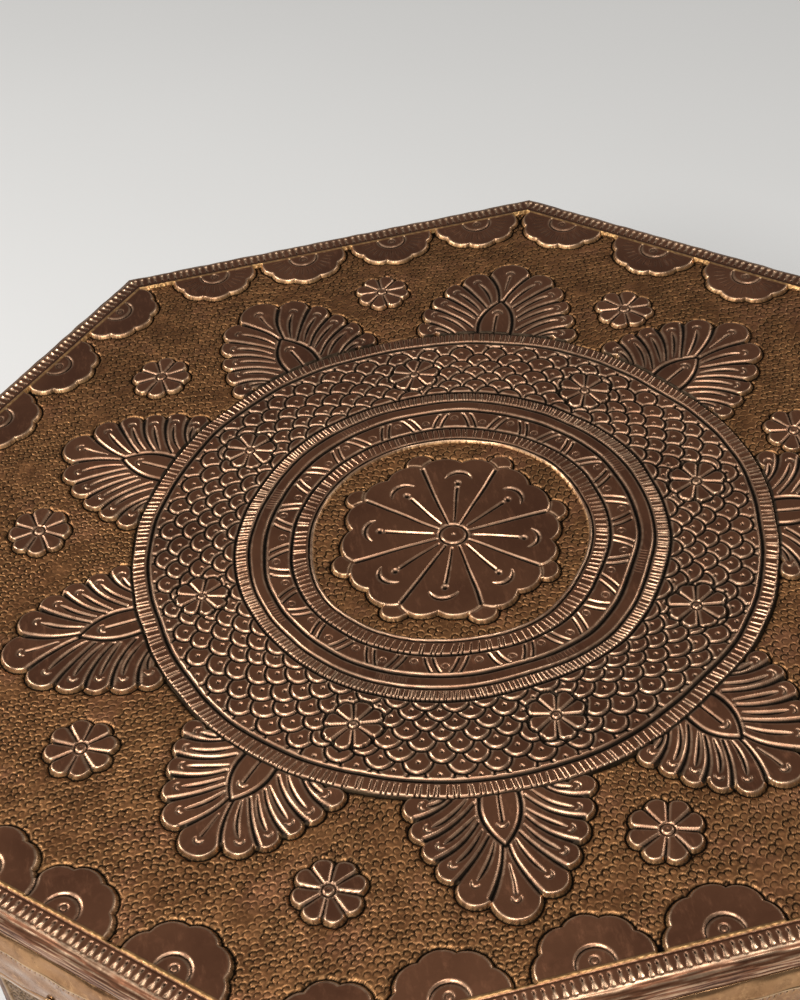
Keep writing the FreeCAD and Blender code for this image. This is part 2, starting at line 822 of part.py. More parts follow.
def make_medallion():
    """The round ornament and the palmettes round it, on a disc of the sheet."""
    body = doc.addObject("PartDesign::Body", "medallion")
    radius = S["medallion_radius"]
    disc = new_sketch(body, "XY_Plane", WOOD_TOP)
    circle(disc, ZERO, ZERO, radius)
    pad(body, disc, SHEET)
    ring = S["ring_width"]
    middle = S["middle_ring_radius"]
    raise_ring(body, radius, radius - ring)
    raise_ring(body, radius - ring - S["groove_width"], middle - ring)
    raise_ring(body, middle - ring - S["groove_width"], S["inner_ring_radius"] - ring)
    parts = [body] + central_flower() + turned_copies(palmette(), PALMETTE_DEGREES)
    whole = joined("Part::MultiFuse", parts)
    return place(whole, S["medallion_right_shift"], -S["medallion_front_shift"])


def make_top_sheet():
    """Top sheet: a shallow tray upside down, with its ornament standing above the ground."""
    tray = rounded_tray("tray", ZERO, SKIRT_BOTTOM, TOP, S["shoulder_radius"])
    ground = new_sketch(tray, "XY_Plane", TOP)
    polygon(ground, octagon(S["border_width"]))
    pocket(tray, ground, S["relief_depth"])
    inside = prism("inside", octagon(S["border_width"]), GROUND, TOP)
    discs = joined("Part::MultiFuse", scallops(LONG) + scallops(SHORT))
    half_rounds = boolean("Part::Common", discs, inside)
    flowers = turned_copies(small_flower(), ROSETTE_DEGREES)
    raised = joined("Part::MultiFuse", [tray, make_medallion(), half_rounds] + flowers)
    below = SKIRT_BOTTOM - S["cut_overrun"]
    cavity = rounded_tray("cavity", SHEET, below, WOOD_TOP, S["shoulder_radius"] - SHEET)
    keep(boolean("Part::Cut", raised, cavity), "top_sheet")


def scallops(side):
    """Discs centred on the border's inner line, along four like sides."""
    line = side.reach - S["border_width"]
    discs = []
    for degrees, shift in zip(side.turns, side.shift_shares):
        angle = math.radians(degrees)
        for number in range(side.scallop_count):
            along = side.pitch * (number - (side.scallop_count - 1) / 2 + shift)
            x = along * math.cos(angle) - line * math.sin(angle)
            y = along * math.sin(angle) + line * math.cos(angle)
            discs.append(cylinder(S["scallop_radius"], S["relief_depth"], x, y, GROUND))
    return discs


def check_and_write():
    """Stops on any failed object, then writes one file for each sub-part."""
    doc.recompute()
    failed = [item.Name for item in doc.Objects if {"Invalid", "Error"} & set(item.State)]
    if failed:
        raise RuntimeError(f"failed objects: {failed}")
    os.makedirs("parts", exist_ok=True)
    for piece in nodes:
        shape = piece.Shape
        if shape.isNull() or not shape.isValid() or not shape.Solids:
            raise RuntimeError(f"bad shape: {piece.Label}")
        shape.exportStep(f"parts/{piece.Label}.step")
    whole = Part.makeCompound([piece.Shape for piece in nodes]).BoundBox
    print(f"{len(nodes)} sub-parts, {whole.XLength:.2f} x {whole.YLength:.2f} x {whole.ZLength:.2f} mm")


make_planks()
make_battens()
make_screws()
make_corner_blocks()
make_edges()
make_sides()
make_top_sheet()
check_and_write()
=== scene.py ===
"""Looks of the low eight-sided table: a teak body clad in embossed brass with a dark brown patina.

The brass is modelled as real relief. Each stretch of sheet is a grid of points, and one set of functions
gives the height of the chased and raised ornament at any point. Lengths are in millimetres until a mesh
is made, and the relief is measured down from the plane of the raised flats.
"""

import math
from functools import reduce

import bpy
import numpy as np
from mathutils import Matrix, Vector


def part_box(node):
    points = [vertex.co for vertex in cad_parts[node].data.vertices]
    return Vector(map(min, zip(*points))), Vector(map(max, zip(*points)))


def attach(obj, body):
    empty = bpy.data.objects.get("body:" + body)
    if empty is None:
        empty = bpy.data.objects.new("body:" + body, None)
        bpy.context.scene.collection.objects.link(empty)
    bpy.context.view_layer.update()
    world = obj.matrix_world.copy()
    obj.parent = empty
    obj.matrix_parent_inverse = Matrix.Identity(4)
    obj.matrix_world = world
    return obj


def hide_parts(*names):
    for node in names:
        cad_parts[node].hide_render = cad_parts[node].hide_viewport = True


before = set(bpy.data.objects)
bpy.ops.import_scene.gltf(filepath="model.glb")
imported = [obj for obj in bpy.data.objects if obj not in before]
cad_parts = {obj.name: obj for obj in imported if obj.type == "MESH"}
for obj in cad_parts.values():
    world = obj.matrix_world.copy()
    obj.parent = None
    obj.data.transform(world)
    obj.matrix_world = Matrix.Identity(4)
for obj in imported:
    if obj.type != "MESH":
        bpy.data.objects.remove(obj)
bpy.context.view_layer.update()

MM = 0.001


def corners(node):
    """Lowest and highest corner of a CAD node, in millimetres."""
    return [np.array(corner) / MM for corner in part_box(node)]


# Sizes that the frame gives

TURN_DEGREES = 45.0
MITRE_TAN = math.tan(math.radians(TURN_DEGREES / 2))
SHEET_LOW, SHEET_HIGH = corners("top_sheet")
PANEL_HIGH = corners("side_panel_long_1")[1]
STRIP_LOW, STRIP_HIGH = corners("edge_strip_long_1")
CLAD_LOW, CLAD_HIGH = corners("panel_sheet_long_1")
TOP = SHEET_HIGH[2]
SKIRT_BOTTOM = SHEET_LOW[2]
LONG_REACH = SHEET_HIGH[1]
PANEL_INSET = LONG_REACH - PANEL_HIGH[1]
LONG_HALF = PANEL_HIGH[0] + PANEL_INSET * MITRE_TAN
SHORT_REACH = (LONG_HALF + LONG_REACH) / math.sqrt(2)
SHEET_THICK = CLAD_HIGH[1] - PANEL_HIGH[1]
STRIP_TOP = STRIP_HIGH[2]
STRIP_BOTTOM = STRIP_LOW[2]
FLARE_WIDTH = STRIP_HIGH[1] - LONG_REACH
CLAD_TOP = CLAD_HIGH[2]
CLAD_BOTTOM = CLAD_LOW[2]

# Sizes of the brass work

BORDER_WIDTH = 11.0
SHOULDER_RADIUS = 5.0
FLARE_DROP = 6.5
LIP_WIDTH = 6.0
GROUND_DEPTH = 0.9
DEEPEST = 1.7
MEDALLION_X = 5.6
MEDALLION_Y = -1.0
MEDALLION_RADIUS = 118.6


class Side:
    """One kind of side, long or short, with its turns about Z from the side that faces +Y."""

    def __init__(self, name, reach, other_reach, first_turn):
        self.name = name
        self.reach = reach
        self.half = other_reach * math.sqrt(2) - reach
        self.turns = [first_turn + 2 * TURN_DEGREES * k for k in range(4)]

    def half_at(self, distance):
        return self.half - (self.reach - distance) * MITRE_TAN


LONG = Side("long", LONG_REACH, SHORT_REACH, 0.0)
SHORT = Side("short", SHORT_REACH, LONG_REACH, TURN_DEGREES)


def turned(along, out, degrees):
    """Plan position of a point given along a side and outward from the centre."""
    c, s = math.cos(math.radians(degrees)), math.sin(math.radians(degrees))
    return along * c - out * s, along * s + out * c


def unturned(x, y, degrees):
    """The reverse of turned: along a side and outward from the centre."""
    c, s = math.cos(math.radians(degrees)), math.sin(math.radians(degrees))
    return x * c + y * s, -x * s + y * c


def all_sides():
    """Each side with its number and its turn."""
    for side in (LONG, SHORT):
        for number, degrees in enumerate(side.turns, start=1):
            yield side, number, degrees


# Shapes of the relief

VEE_ROUNDING = 0.03


def smooth(low, high, value):
    """A soft step from 0 at low to 1 at high."""
    t = np.clip((value - low) / (high - low), 0.0, 1.0)
    return t * t * (3.0 - 2.0 * t)


def dip(distance, half_width):
    """A vee with a rounded bottom: 1 on the middle of a chased line and 0 at its edges."""
    q = np.minimum(np.abs(distance) / half_width, 1.0)
    edge = math.sqrt(1 + VEE_ROUNDING)
    return (edge - np.sqrt(q * q + VEE_ROUNDING)) / (edge - math.sqrt(VEE_ROUNDING))


def largest(*values):
    """The largest of several values at each point."""
    return reduce(np.maximum, values)


class Drift:
    """Smooth noise of about unit size: sine waves that run in random directions."""

    def __init__(self, seed, wavelength, waves=7):
        rng = np.random.default_rng(seed)
        angle = rng.uniform(0, 2 * math.pi, waves)
        number = 2 * math.pi / (wavelength * rng.uniform(0.7, 1.6, waves))
        phase = rng.uniform(0, 2 * math.pi, waves)
        self.terms = list(zip(number * np.cos(angle), number * np.sin(angle), phase))

    def __call__(self, x, y):
        total = 0.0
        for kx, ky, phase in self.terms:
            total = total + np.sin(kx * x + ky * y + phase)
        return total / math.sqrt(len(self.terms) / 2)


def cell_random(i, j, seed):
    """A fixed number from 0 to 1 for each cell of a lattice."""
    value = np.sin(i * 127.1 + j * 311.7 + seed * 74.7) * 43758.5453
    return value - np.floor(value)


def polar_points(radius, degrees):
    angle = np.radians(degrees)
    return radius * np.cos(angle), radius * np.sin(angle)


def discs(x, y, centres, radius):
    """Distance inside the union of discs, negative outside."""
    return largest(*(radius - np.hypot(x - cx, y - cy) for cx, cy in centres))


def stroke(x, y, points, widths, depth):
    """How deep a chased stroke cuts. It runs through the points, with a half width at each."""
    least = np.full(x.shape, 9.0)
    width = np.full(x.shape, widths[0])
    for k in range(len(points) - 1):
        (x0, y0), (x1, y1) = points[k], points[k + 1]
        dx, dy = x1 - x0, y1 - y0
        t = np.clip(((x - x0) * dx + (y - y0) * dy) / (dx * dx + dy * dy), 0.0, 1.0)
        here = widths[k] + (widths[k + 1] - widths[k]) * t
        ratio = np.hypot(x - x0 - t * dx, y - y0 - t * dy) / here
        closer = ratio < least
        least = np.where(closer, ratio, least)
        width = np.where(closer, here, width)
    return depth * dip(least, 1.0) * np.minimum(width / max(widths), 1.0) ** 0.5


def ray(x, y, degrees, reaches, widths, depth):
    """A stroke straight out from the middle, between two radii."""
    return stroke(x, y, [polar_points(reach, degrees) for reach in reaches], widths, depth)


def strokes(x, y, lines):
    """The deepest of many strokes. Each line is its points, half widths and depth."""
    return largest(*(stroke(x, y, *line) for line in lines))


def curve(start, control, end, count=9):
    """Points along a curve that leaves start towards control and arrives at end."""
    t = np.linspace(0.0, 1.0, count)[:, None]
    start, control, end = (np.array(p, float) for p in (start, control, end))
    return (1 - t) ** 2 * start + 2 * t * (1 - t) * control + t**2 * end


def crescent(centre, radius, middle, spread_degrees, count, end_width, middle_width, depth):
    """A line along an arc, thin at both ends. Middle is the direction that the arc bulges in."""
    x, y = polar_points(radius, np.linspace(middle - spread_degrees, middle + spread_degrees, count))
    t = np.linspace(0.0, 1.0, count)
    widths = end_width + (middle_width - end_width) * np.sin(math.pi * t) ** 0.7
    return np.stack([centre[0] + x, centre[1] + y], 1), list(widths), depth


def ring_punch(distance, radius, width, depth):
    """A hollow round punch: a ring pressed in, with its middle a little sunk."""
    return depth * dip(distance - radius, width) + 0.35 * depth * smooth(radius, radius - 2 * width, distance)


# The punched ground and the raised motifs

PUNCH_PITCH = 3.05
PUNCH_JITTER = 1.3
PUNCH_RADIUS = 1.08
PUNCH_HALF_WIDTH = 0.52
ROW_WARP = Drift(15, 60.0)
ROW_BEND = 1.6
WEAR = Drift(17, 24.0)


def ground_punches(x, y, depth):
    """Depth of ring punches on loose, slightly bent rows.

    They lean, so that the far side bites deepest, and in some places wear has left them nearly smooth."""
    wear = smooth(-1.5, -0.4, WEAR(x, y))
    x = x + ROW_BEND * ROW_WARP(x, y)
    y = y + ROW_BEND * ROW_WARP(y, x)
    row_pitch = PUNCH_PITCH * 0.88
    nearest = np.full(x.shape, 1e9)
    far_side = np.zeros(x.shape)
    force = np.zeros(x.shape)
    row0 = np.round(y / row_pitch)
    for step_y in (-1, 0, 1):
        row = row0 + step_y
        offset = 0.5 * PUNCH_PITCH * (row % 2)
        column0 = np.round((x - offset) / PUNCH_PITCH)
        for step_x in (-1, 0, 1):
            column = column0 + step_x
            cx = column * PUNCH_PITCH + offset + PUNCH_JITTER * (cell_random(column, row, 1) - 0.5)
            cy = row * row_pitch + PUNCH_JITTER * (cell_random(column, row, 2) - 0.5)
            distance = np.hypot(x - cx, y - cy)
            closer = distance < nearest
            nearest = np.where(closer, distance, nearest)
            far_side = np.where(closer, (y - cy + 0.35 * (cx - x)) / np.maximum(distance, 0.1), far_side)
            force = np.where(closer, 0.6 + 0.8 * cell_random(column, row, 3), force)
    lean = 0.30 + 0.70 * smooth(-0.9, 0.6, far_side)
    ring = dip(nearest - PUNCH_RADIUS, PUNCH_HALF_WIDTH)
    return depth * ring * lean * np.minimum(force, 1.0) * (0.6 + 0.4 * wear)


class Field:
    """Relief at a set of points: how far each is raised from the ground and how deep it is chased."""

    def __init__(self, raised, cut):
        self.raised = raised
        self.cut = cut

    def lay(self, near, motif, x, y, *how, fade=None, depth=1.0):
        """Lays a motif over the points that are near. Fade is its share at each, depth that of its cuts."""
        index = np.flatnonzero(near)
        if len(index) == 0:
            return
        raised, cut = motif(x[index], y[index], *how)
        if fade is not None:
            raised, cut = raised * fade[index], cut * depth * fade[index]
        self.cut[index] = self.cut[index] * (1 - raised) + cut
        self.raised[index] = np.maximum(self.raised[index], raised)


def pillow(inside):
    """A raised motif's edge: it climbs steeply and then rolls over into the flat."""
    return smooth(-0.35, 0.65, inside)


def foot(inside, depth=0.8):
    """The line chased round a raised motif's foot."""
    return depth * dip(inside + 0.7, 0.9)


# The central flower: directions of the gaps between its petals, then its radii
PETAL_EDGE_DEGREES = (2.0, 48.0, 93.0, 135.0, 184.0, 227.0, 270.5, 315.0)
PETAL_LOBE_SHARES = (0.265, 0.735)
EYE_RADIUS = 5.2
VEIN_REACHES = (7.6, 24.8)
DOT_PLACE = 27.2
PETAL_LINE_REACHES = (6.6, 37.0)
LOBE_PLACE, LOBE_RADIUS, PETAL_CORE_RADIUS = 32.0, 9.2, 33.0
BEHIND_PLACE, BEHIND_RADIUS = 40.4, 5.0
FLOWER_REACH = 48.0


def central_flower(x, y):
    """Eight petals with two lobes each, a small lobe behind each gap, and chased lines and crescents."""
    radius = np.hypot(x, y)
    petals = list(zip(PETAL_EDGE_DEGREES, PETAL_EDGE_DEGREES[1:] + (PETAL_EDGE_DEGREES[0] + 360.0,)))
    lobe_turns = [low + (high - low) * share for low, high in petals for share in PETAL_LOBE_SHARES]
    lobes = [polar_points(LOBE_PLACE, degrees) for degrees in lobe_turns]
    inside = np.maximum(discs(x, y, lobes, LOBE_RADIUS), PETAL_CORE_RADIUS - radius)
    behind = discs(x, y, [polar_points(BEHIND_PLACE, low) for low in PETAL_EDGE_DEGREES], BEHIND_RADIUS)
    raised = np.maximum(pillow(inside), 0.85 * pillow(behind))
    cut = foot(np.maximum(inside, behind)) + 0.4 * dip(inside + 0.3, 0.75) * (behind > -0.5)
    for low, high in petals:
        middle = (low + high) / 2
        dot = polar_points(DOT_PLACE, middle)
        cut = largest(
            cut,
            ray(x, y, low, PETAL_LINE_REACHES, [0.8, 1.2], 0.85),
            ray(x, y, middle, VEIN_REACHES, [0.75, 1.1], 0.75),
            0.9 * dip(np.hypot(x - dot[0], y - dot[1]), 1.6),
            stroke(x, y, *crescent(dot, 5.6, middle, 66, 9, 0.35, 1.15, 0.75)),
        )
    return raised, largest(cut, 0.75 * dip(radius - EYE_RADIUS, 1.0), 0.6 * dip(radius, 0.9))


# A small flower's parts as shares of its radius
SMALL_PETAL_COUNT = 8
SMALL_LOBE_PLACE_SHARE, SMALL_LOBE_SHARE, SMALL_CORE_SHARE = 0.68, 0.32, 0.62
SMALL_LINE_SHARES = (0.27, 0.86)
SMALL_EYE_SHARE = 0.18


def small_flower(x, y, size, turn):
    """Eight round petals with a chased line between each two, and a ring round the eye."""
    radius = np.hypot(x, y)
    step = 360.0 / SMALL_PETAL_COUNT
    turns = [turn + step * k for k in range(SMALL_PETAL_COUNT)]
    lobes = [polar_points(size * SMALL_LOBE_PLACE_SHARE, degrees) for degrees in turns]
    inside = np.maximum(discs(x, y, lobes, size * SMALL_LOBE_SHARE), size * SMALL_CORE_SHARE - radius)
    reaches = [size * share for share in SMALL_LINE_SHARES]
    lines = [ray(x, y, degrees + step / 2, reaches, [0.75, 1.15], 0.8) for degrees in turns]
    eye = np.maximum(0.7 * dip(radius - size * SMALL_EYE_SHARE, 0.7), 0.3 * dip(radius, 0.6))
    return pillow(inside), largest(foot(inside), *lines, eye)


# The palmette in its own frame: along from the milled ring towards the tip, and across from its middle line.
# Shares are of its length and its half width, for one half, from the tip down. A lobe is its round end's
# centre and radius. A gap is the chased line between two lobes: its root, the point it bends towards and
# the notch where it ends. A vein is the line along the middle of a lobe, given in the same way.
PALMETTE_HALF_WIDTH = 32.6
TIP_SHARE = 0.167
BUD_SHARE = 0.43
LOBE_SHARES = (
    (0.725, 0.383, 0.124),
    (0.565, 0.577, 0.106),
    (0.388, 0.706, 0.099),
    (0.216, 0.798, 0.098),
    (0.035, 0.853, 0.094),
)
GAP_SHARES = (
    ((0.412, 0.028), (0.620, 0.057), (0.818, 0.252)),
    ((0.343, 0.160), (0.553, 0.371), (0.667, 0.570)),
    ((0.225, 0.248), (0.406, 0.446), (0.476, 0.724)),
    ((0.069, 0.276), (0.255, 0.521), (0.300, 0.828)),
    ((-0.010, 0.475), (0.110, 0.663), (0.124, 0.899)),
)
VEIN_SHARES = (
    ((0.395, 0.113), (0.569, 0.190), (0.680, 0.350)),
    ((0.294, 0.221), (0.451, 0.368), (0.522, 0.537)),
    ((0.176, 0.270), (0.294, 0.460), (0.355, 0.640)),
    ((0.024, 0.350), (0.180, 0.540), (0.205, 0.735)),
    ((-0.015, 0.540), (0.040, 0.650), (0.035, 0.760)),
)
GAP_WIDTHS = list(np.linspace(0.95, 1.55, 9))
VEIN_WIDTHS = [0.5, 0.8, 1.0, 1.1, 1.15, 1.15, 1.1, 0.9, 0.4]
# The lobes fan out from this far behind the palmette's foot
FAN_BACK = 12.0
OUTSIDE = -9.0
# No point of a palmette, or of a half rosette, lies further than this from its middle line
PALMETTE_SPAN = 36.0
HALF_ROSETTE_SPAN = 22.0


def palmette(u, v, length, rng):
    """A fan of round-ended lobes about a pointed bud."""
    half = PALMETTE_HALF_WIDTH * rng.uniform(0.95, 1.02)
    v = v - rng.uniform(-0.6, 0.6) * np.clip(u / length, 0.0, 1.0)
    tip = length * (1 - TIP_SHARE)
    inside = length * TIP_SHARE - np.hypot(u - tip, v)
    lines = []
    rim = [(tip, 0.0)]
    for sign in (-1, 1):
        scale = np.array([length, sign * half * rng.uniform(0.95, 1.05)])
        for (along, across, size), gap, vein in zip(LOBE_SHARES, GAP_SHARES, VEIN_SHARES):
            end = scale * (along * rng.uniform(0.98, 1.02), across * rng.uniform(0.98, 1.02))
            size = size * length * rng.uniform(0.95, 1.05)
            rim.append(end)
            inside = np.maximum(inside, size - np.hypot(u - end[0], v - end[1]))
            lines.append((curve(*(scale * np.array(gap))), GAP_WIDTHS, 0.95))
            points = curve(*(scale * np.array(vein)))
            lines.append((points, VEIN_WIDTHS, 0.75))
            last, heading = points[-1] - points[-2], points[-1] - points[-3]
            facing = math.degrees(math.atan2(heading[1], heading[0]))
            hook_centre = points[-1] + 1.2 * last / math.hypot(*last)
            lines.append(crescent(hook_centre, 1.5, facing, 95, 7, 0.3, 0.62, 0.5))
    rim = sorted((math.atan2(cv, cu + FAN_BACK), math.hypot(cv, cu + FAN_BACK)) for cu, cv in rim)
    turns, reaches = zip(*rim)
    turn, reach = np.arctan2(v, u + FAN_BACK), np.hypot(v, u + FAN_BACK)
    between = (turn > turns[0]) & (turn < turns[-1])
    inside = np.maximum(inside, np.where(between, np.interp(turn, turns, reaches) - reach + 0.5, OUTSIDE))
    bud_length = length * BUD_SHARE
    tip_vein = curve((bud_length * 1.36, 0), (tip * 0.9, 0.3), (tip - 1.2, 0), 3)
    lines.append((tip_vein, [0.45, 0.7, 0.95], 0.62))
    lines.append(crescent((tip + 0.4, 0.0), 1.6, 0.0, 95, 7, 0.4, 0.75, 0.55))
    bud = bud_outline(u, v, bud_length)
    bud_lines = (
        ([(1.2, 0.0), (bud_length * 0.56, 0.0)], [0.9, 1.0], 0.7),
        crescent((bud_length * 0.60, 0.0), 1.9, 0.0, 85, 7, 0.4, 0.7, 0.55),
    )
    outline = np.maximum(inside, bud)
    cut = strokes(u, v, lines) * (1 - smooth(-0.9, 0.0, bud))
    return pillow(outline), largest(cut, 0.85 * dip(bud + 0.2, 1.25), strokes(u, v, bud_lines), foot(outline))


def bud_outline(u, v, length):
    """Distance inside a pointed bud whose foot stands on the ring."""
    t = np.clip(u / length, 0.0, 1.0)
    width = 6.4 * (0.98 + 0.42 * t - 1.40 * t**2.4) * (t < 1.0)
    return np.where(u < length, (width - np.abs(v)) * 0.85, -np.hypot(u - length, v))


HALF_ROSETTE_RADIUS = 16.9
HALF_ROSETTE_LOBE_DEGREES = 19.5
HALF_ROSETTE_EYE = 2.6


def half_rosette(along, inward, rays, rng):
    """A half flower whose centre lies on the border line. Inward is the distance from that line."""
    radius = np.hypot(along, inward)
    angle = np.degrees(np.arctan2(inward, along))
    lobe = HALF_ROSETTE_LOBE_DEGREES * rng.uniform(0.95, 1.05)
    shift = rng.uniform(-4, 4)
    wave = np.abs(np.sin(np.radians((angle - 90.0 + shift) * 180.0 / lobe / 2 + 90.0)))
    inside = (HALF_ROSETTE_RADIUS * rng.uniform(0.97, 1.03) + 1.75 * wave**0.65 - radius) * 0.9
    cut = largest(
        foot(inside),
        stroke(along, inward, *crescent((0.0, 1.2), 6.1, 90.0, 92.0, 13, 0.45, 1.05, 0.65)),
        ring_punch(np.hypot(along, inward - HALF_ROSETTE_EYE), 1.25, 0.6, 0.4),
    )
    if rays:
        for degrees in np.arange(8.0, 173.0, 11.5):
            start = rng.uniform(9.2, 10.0)
            reaches = (start, start + rng.uniform(3.6, 4.8))
            cut = np.maximum(cut, ray(along, inward, degrees, reaches, [0.45, 0.55], 0.26))
    return pillow(inside), cut


# The medallion

# Grooves about its centre: radius, half width and depth
GROOVES = (
    (53.0, 0.8, 0.7),
    (59.3, 1.1, 0.8),
    (69.3, 1.3, 0.9),
    (74.9, 1.05, 0.85),
    (80.3, 1.1, 0.8),
    (112.9, 1.25, 0.95),
    (119.4, 1.1, 0.9),
)
# Milled rings: middle radius, half width, number of rungs and seed
MILLED_RINGS = ((56.1, 2.6, 160, 1.0), (77.5, 2.3, 320, 2.0), (116.1, 2.6, 346, 3.0))
INNER_GROUND_RADIUS = 51.2
MEDALLION_REACH = 120.6
ZIGZAG_LOW, ZIGZAG_MIDDLE, ZIGZAG_HIGH = 59.0, 63.9, 68.6
ZIGZAG_STEP_DEGREES = 10.0
HATCH_LOW, HATCH_MIDDLE, HATCH_HIGH = 69.5, 71.0, 74.5
HATCH_FIRST_DEGREES = 16.0
SCALE_LOW, SCALE_HIGH = 80.5, 112.0
SCALE_COUNT, SCALE_ROWS = 49, 8
FIRST_SCALE_RADIUS = 84.1
SCALE_ROW_PITCH = 4.3
SCALE_RADIUS = 4.6
SCALE_ROSETTE_DEGREES = (-0.3, 41.9, 85.5, 133.1, 182.0, 235.2, 278.1, 321.3)
SCALE_ROSETTE_PLACE, SCALE_ROSETTE_RADIUS = 94.7, 9.9


def milled(radius, angle, middle, half_width, count, seed):
    """How far below the flats a raised bead lies that chisel strokes cut across, tapering inward."""
    share = (radius - middle) / half_width
    step = 2 * math.pi / count
    lean = 0.10 * np.sin(angle * 3 + seed) + 0.06 * np.sin(angle * 17 + seed)
    slot = np.round(angle / step)
    nearest = np.full(radius.shape, 1e9)
    for k in (slot - 1, slot, slot + 1):
        place = (k + 0.55 * (cell_random(k % count, 0.0, seed) - 0.5)) * step
        tilt = lean + 0.16 * (cell_random(k % count, 1.0, seed) - 0.5)
        nearest = np.minimum(nearest, np.abs((angle - place) * middle + tilt * (radius - middle)))
    width = 0.25 + 0.20 * smooth(-1.0, 1.0, share)
    rung = 0.55 * dip(nearest / width, 1.0) * smooth(-1.0, -0.4, share)
    body = 0.04 + 0.25 * np.minimum(np.abs(share), 1.0) ** 6
    return np.where(np.abs(share) < 1.0, body + rung, 0.0)


def zigzag(radius, angle):
    """Pairs of slanting strokes that lean to and fro, with a ring punch between pairs."""
    step = math.radians(ZIGZAG_STEP_DEGREES)
    arc_radius = 63.5
    k = np.round(angle / step)
    jitter = 0.12 * (cell_random(k, 3.0, 5) - 0.5)
    lean = np.where(k % 2 == 0, -1.0, 1.0)
    beside = (angle - (k + jitter) * step) * arc_radius
    across = radius - ZIGZAG_MIDDLE
    slant = lean * (0.42 * across + 0.02 * across**2)
    pair = largest(*(dip((beside - offset - slant) * 0.92, 0.9) for offset in (-1.5, 1.5)))
    gap = np.floor(angle / step)
    high = np.where(gap % 2 == 0, -1.0, 1.0)
    spot = np.hypot((angle - (gap + 0.5) * step) * arc_radius, across - 0.9 * high)
    return np.maximum(0.75 * pair * smooth(4.0, 3.4, np.abs(across)), ring_punch(spot, 1.15, 0.5, 0.3))


def hatch(radius, angle):
    """Short groups of fine strokes across the plain band, one for each eighth of a turn."""
    first, step = math.radians(HATCH_FIRST_DEGREES), math.radians(TURN_DEGREES)
    k = np.round((angle - first) / step)
    centre = first + k * step + math.radians(6) * (cell_random(k, 1.0, 4) - 0.5)
    across = (angle - centre) * HATCH_MIDDLE
    window = smooth(6.5, 5.2, np.abs(across)) * smooth(70.2, 70.8, radius) * smooth(73.8, 73.0, radius)
    return 0.2 * window * (0.5 + 0.5 * np.cos(across * 2 * math.pi / 1.35)) ** 2


def scales(radius, angle):
    """Rows of round scales whose free edges point outward, each with a dot."""
    cut = np.zeros(radius.shape)
    pitch = math.radians(360.0 / SCALE_COUNT)
    for row in reversed(range(SCALE_ROWS)):
        offset = 0.5 * (row % 2)
        column = np.round(angle / pitch - offset)
        wrapped = column % SCALE_COUNT
        size = SCALE_RADIUS * (0.94 + 0.16 * cell_random(wrapped, row, 7))
        centre_angle = (column + offset + 0.14 * (cell_random(wrapped, row, 8) - 0.5)) * pitch
        top = FIRST_SCALE_RADIUS + SCALE_ROW_PITCH * row
        out = radius - (top - size + 0.7 * (cell_random(wrapped, row, 9) - 0.5))
        beside = (angle - centre_angle) * radius
        distance = np.where(out > 0, np.hypot(out, beside), np.maximum(np.abs(beside), -out * 0.35))
        in_row = out > -2.2 * size
        edge = 0.85 * dip(distance - size - 0.3, 1.0)
        dome = 0.14 * smooth(0.9, 0.2, distance / size)
        dot = 0.85 * dip(np.hypot(out - 0.15 * size, beside), 1.0)
        beyond = np.where(in_row, np.maximum(cut, edge), cut)
        cut = np.where((distance < size) & in_row, largest(edge, dot, dome), beyond)
    fade = smooth(SCALE_LOW, SCALE_LOW + 0.8, radius) * smooth(SCALE_HIGH - 0.2, SCALE_HIGH - 0.8, radius)
    return cut * fade


def medallion(x, y):
    """The whole round ornament inside the outer milled ring: raised, cut and the dark of its grooves, which
    is patina and painted shade.
    """
    radius = np.hypot(x, y)
    angle = np.arctan2(y, x)
    cut = np.zeros(radius.shape)
    dark = np.zeros(radius.shape)
    for middle, width, depth in GROOVES:
        cut = np.maximum(cut, depth * dip(radius - middle, width))
        # The grooves' dark: patina and painted shade.
        dark = np.maximum(dark, smooth(0.85, 0.45, np.abs(radius - middle) / width))
    for ring in MILLED_RINGS:
        cut = np.maximum(cut, milled(radius, angle, *ring))
    for low, high, carve in (
        (ZIGZAG_LOW, ZIGZAG_HIGH, zigzag),
        (HATCH_LOW, HATCH_HIGH, hatch),
        (SCALE_LOW, SCALE_HIGH, scales),
    ):
        band = (radius > low) & (radius < high)
        cut[band] = np.maximum(cut[band], carve(radius[band], angle[band]))
    field = Field(smooth(INNER_GROUND_RADIUS, INNER_GROUND_RADIUS + 0.7, radius), cut)
    for degrees in SCALE_ROSETTE_DEGREES:
        cx, cy = polar_points(SCALE_ROSETTE_PLACE, degrees)
        near = np.hypot(x - cx, y - cy) < SCALE_ROSETTE_RADIUS + 3.1
        field.lay(near, small_flower, x - cx, y - cy, SCALE_ROSETTE_RADIUS, degrees)
    field.lay(radius < FLOWER_REACH, central_flower, x, y)
    return field.raised, field.cut, dark


# The whole top: ornament listed one by one, in degrees about the medallion or positions from the table's
# centre

PALMETTE_DEGREES = (66.9, 29.3, -12.0, -60.0, -96.9, -135.4, -175.8, 144.8, 106.6)
PALMETTE_LENGTHS = (49.0, 46.5, 47.0, 43.5, 49.5, 44.5, 49.5, 48.5, 49.5)
SMALL_FLOWER_RADIUS = 12.0
SMALL_FLOWERS = (
    (13.5, 151.3),
    (107.5, 107.2),
    (146.2, 14.3),
    (128.0, -88.0),
    (37.8, -147.7),
    (-68.0, -140.5),
    (-138.5, -61.9),
    (-144.2, 48.1),
    (-87.7, 125.8),
)
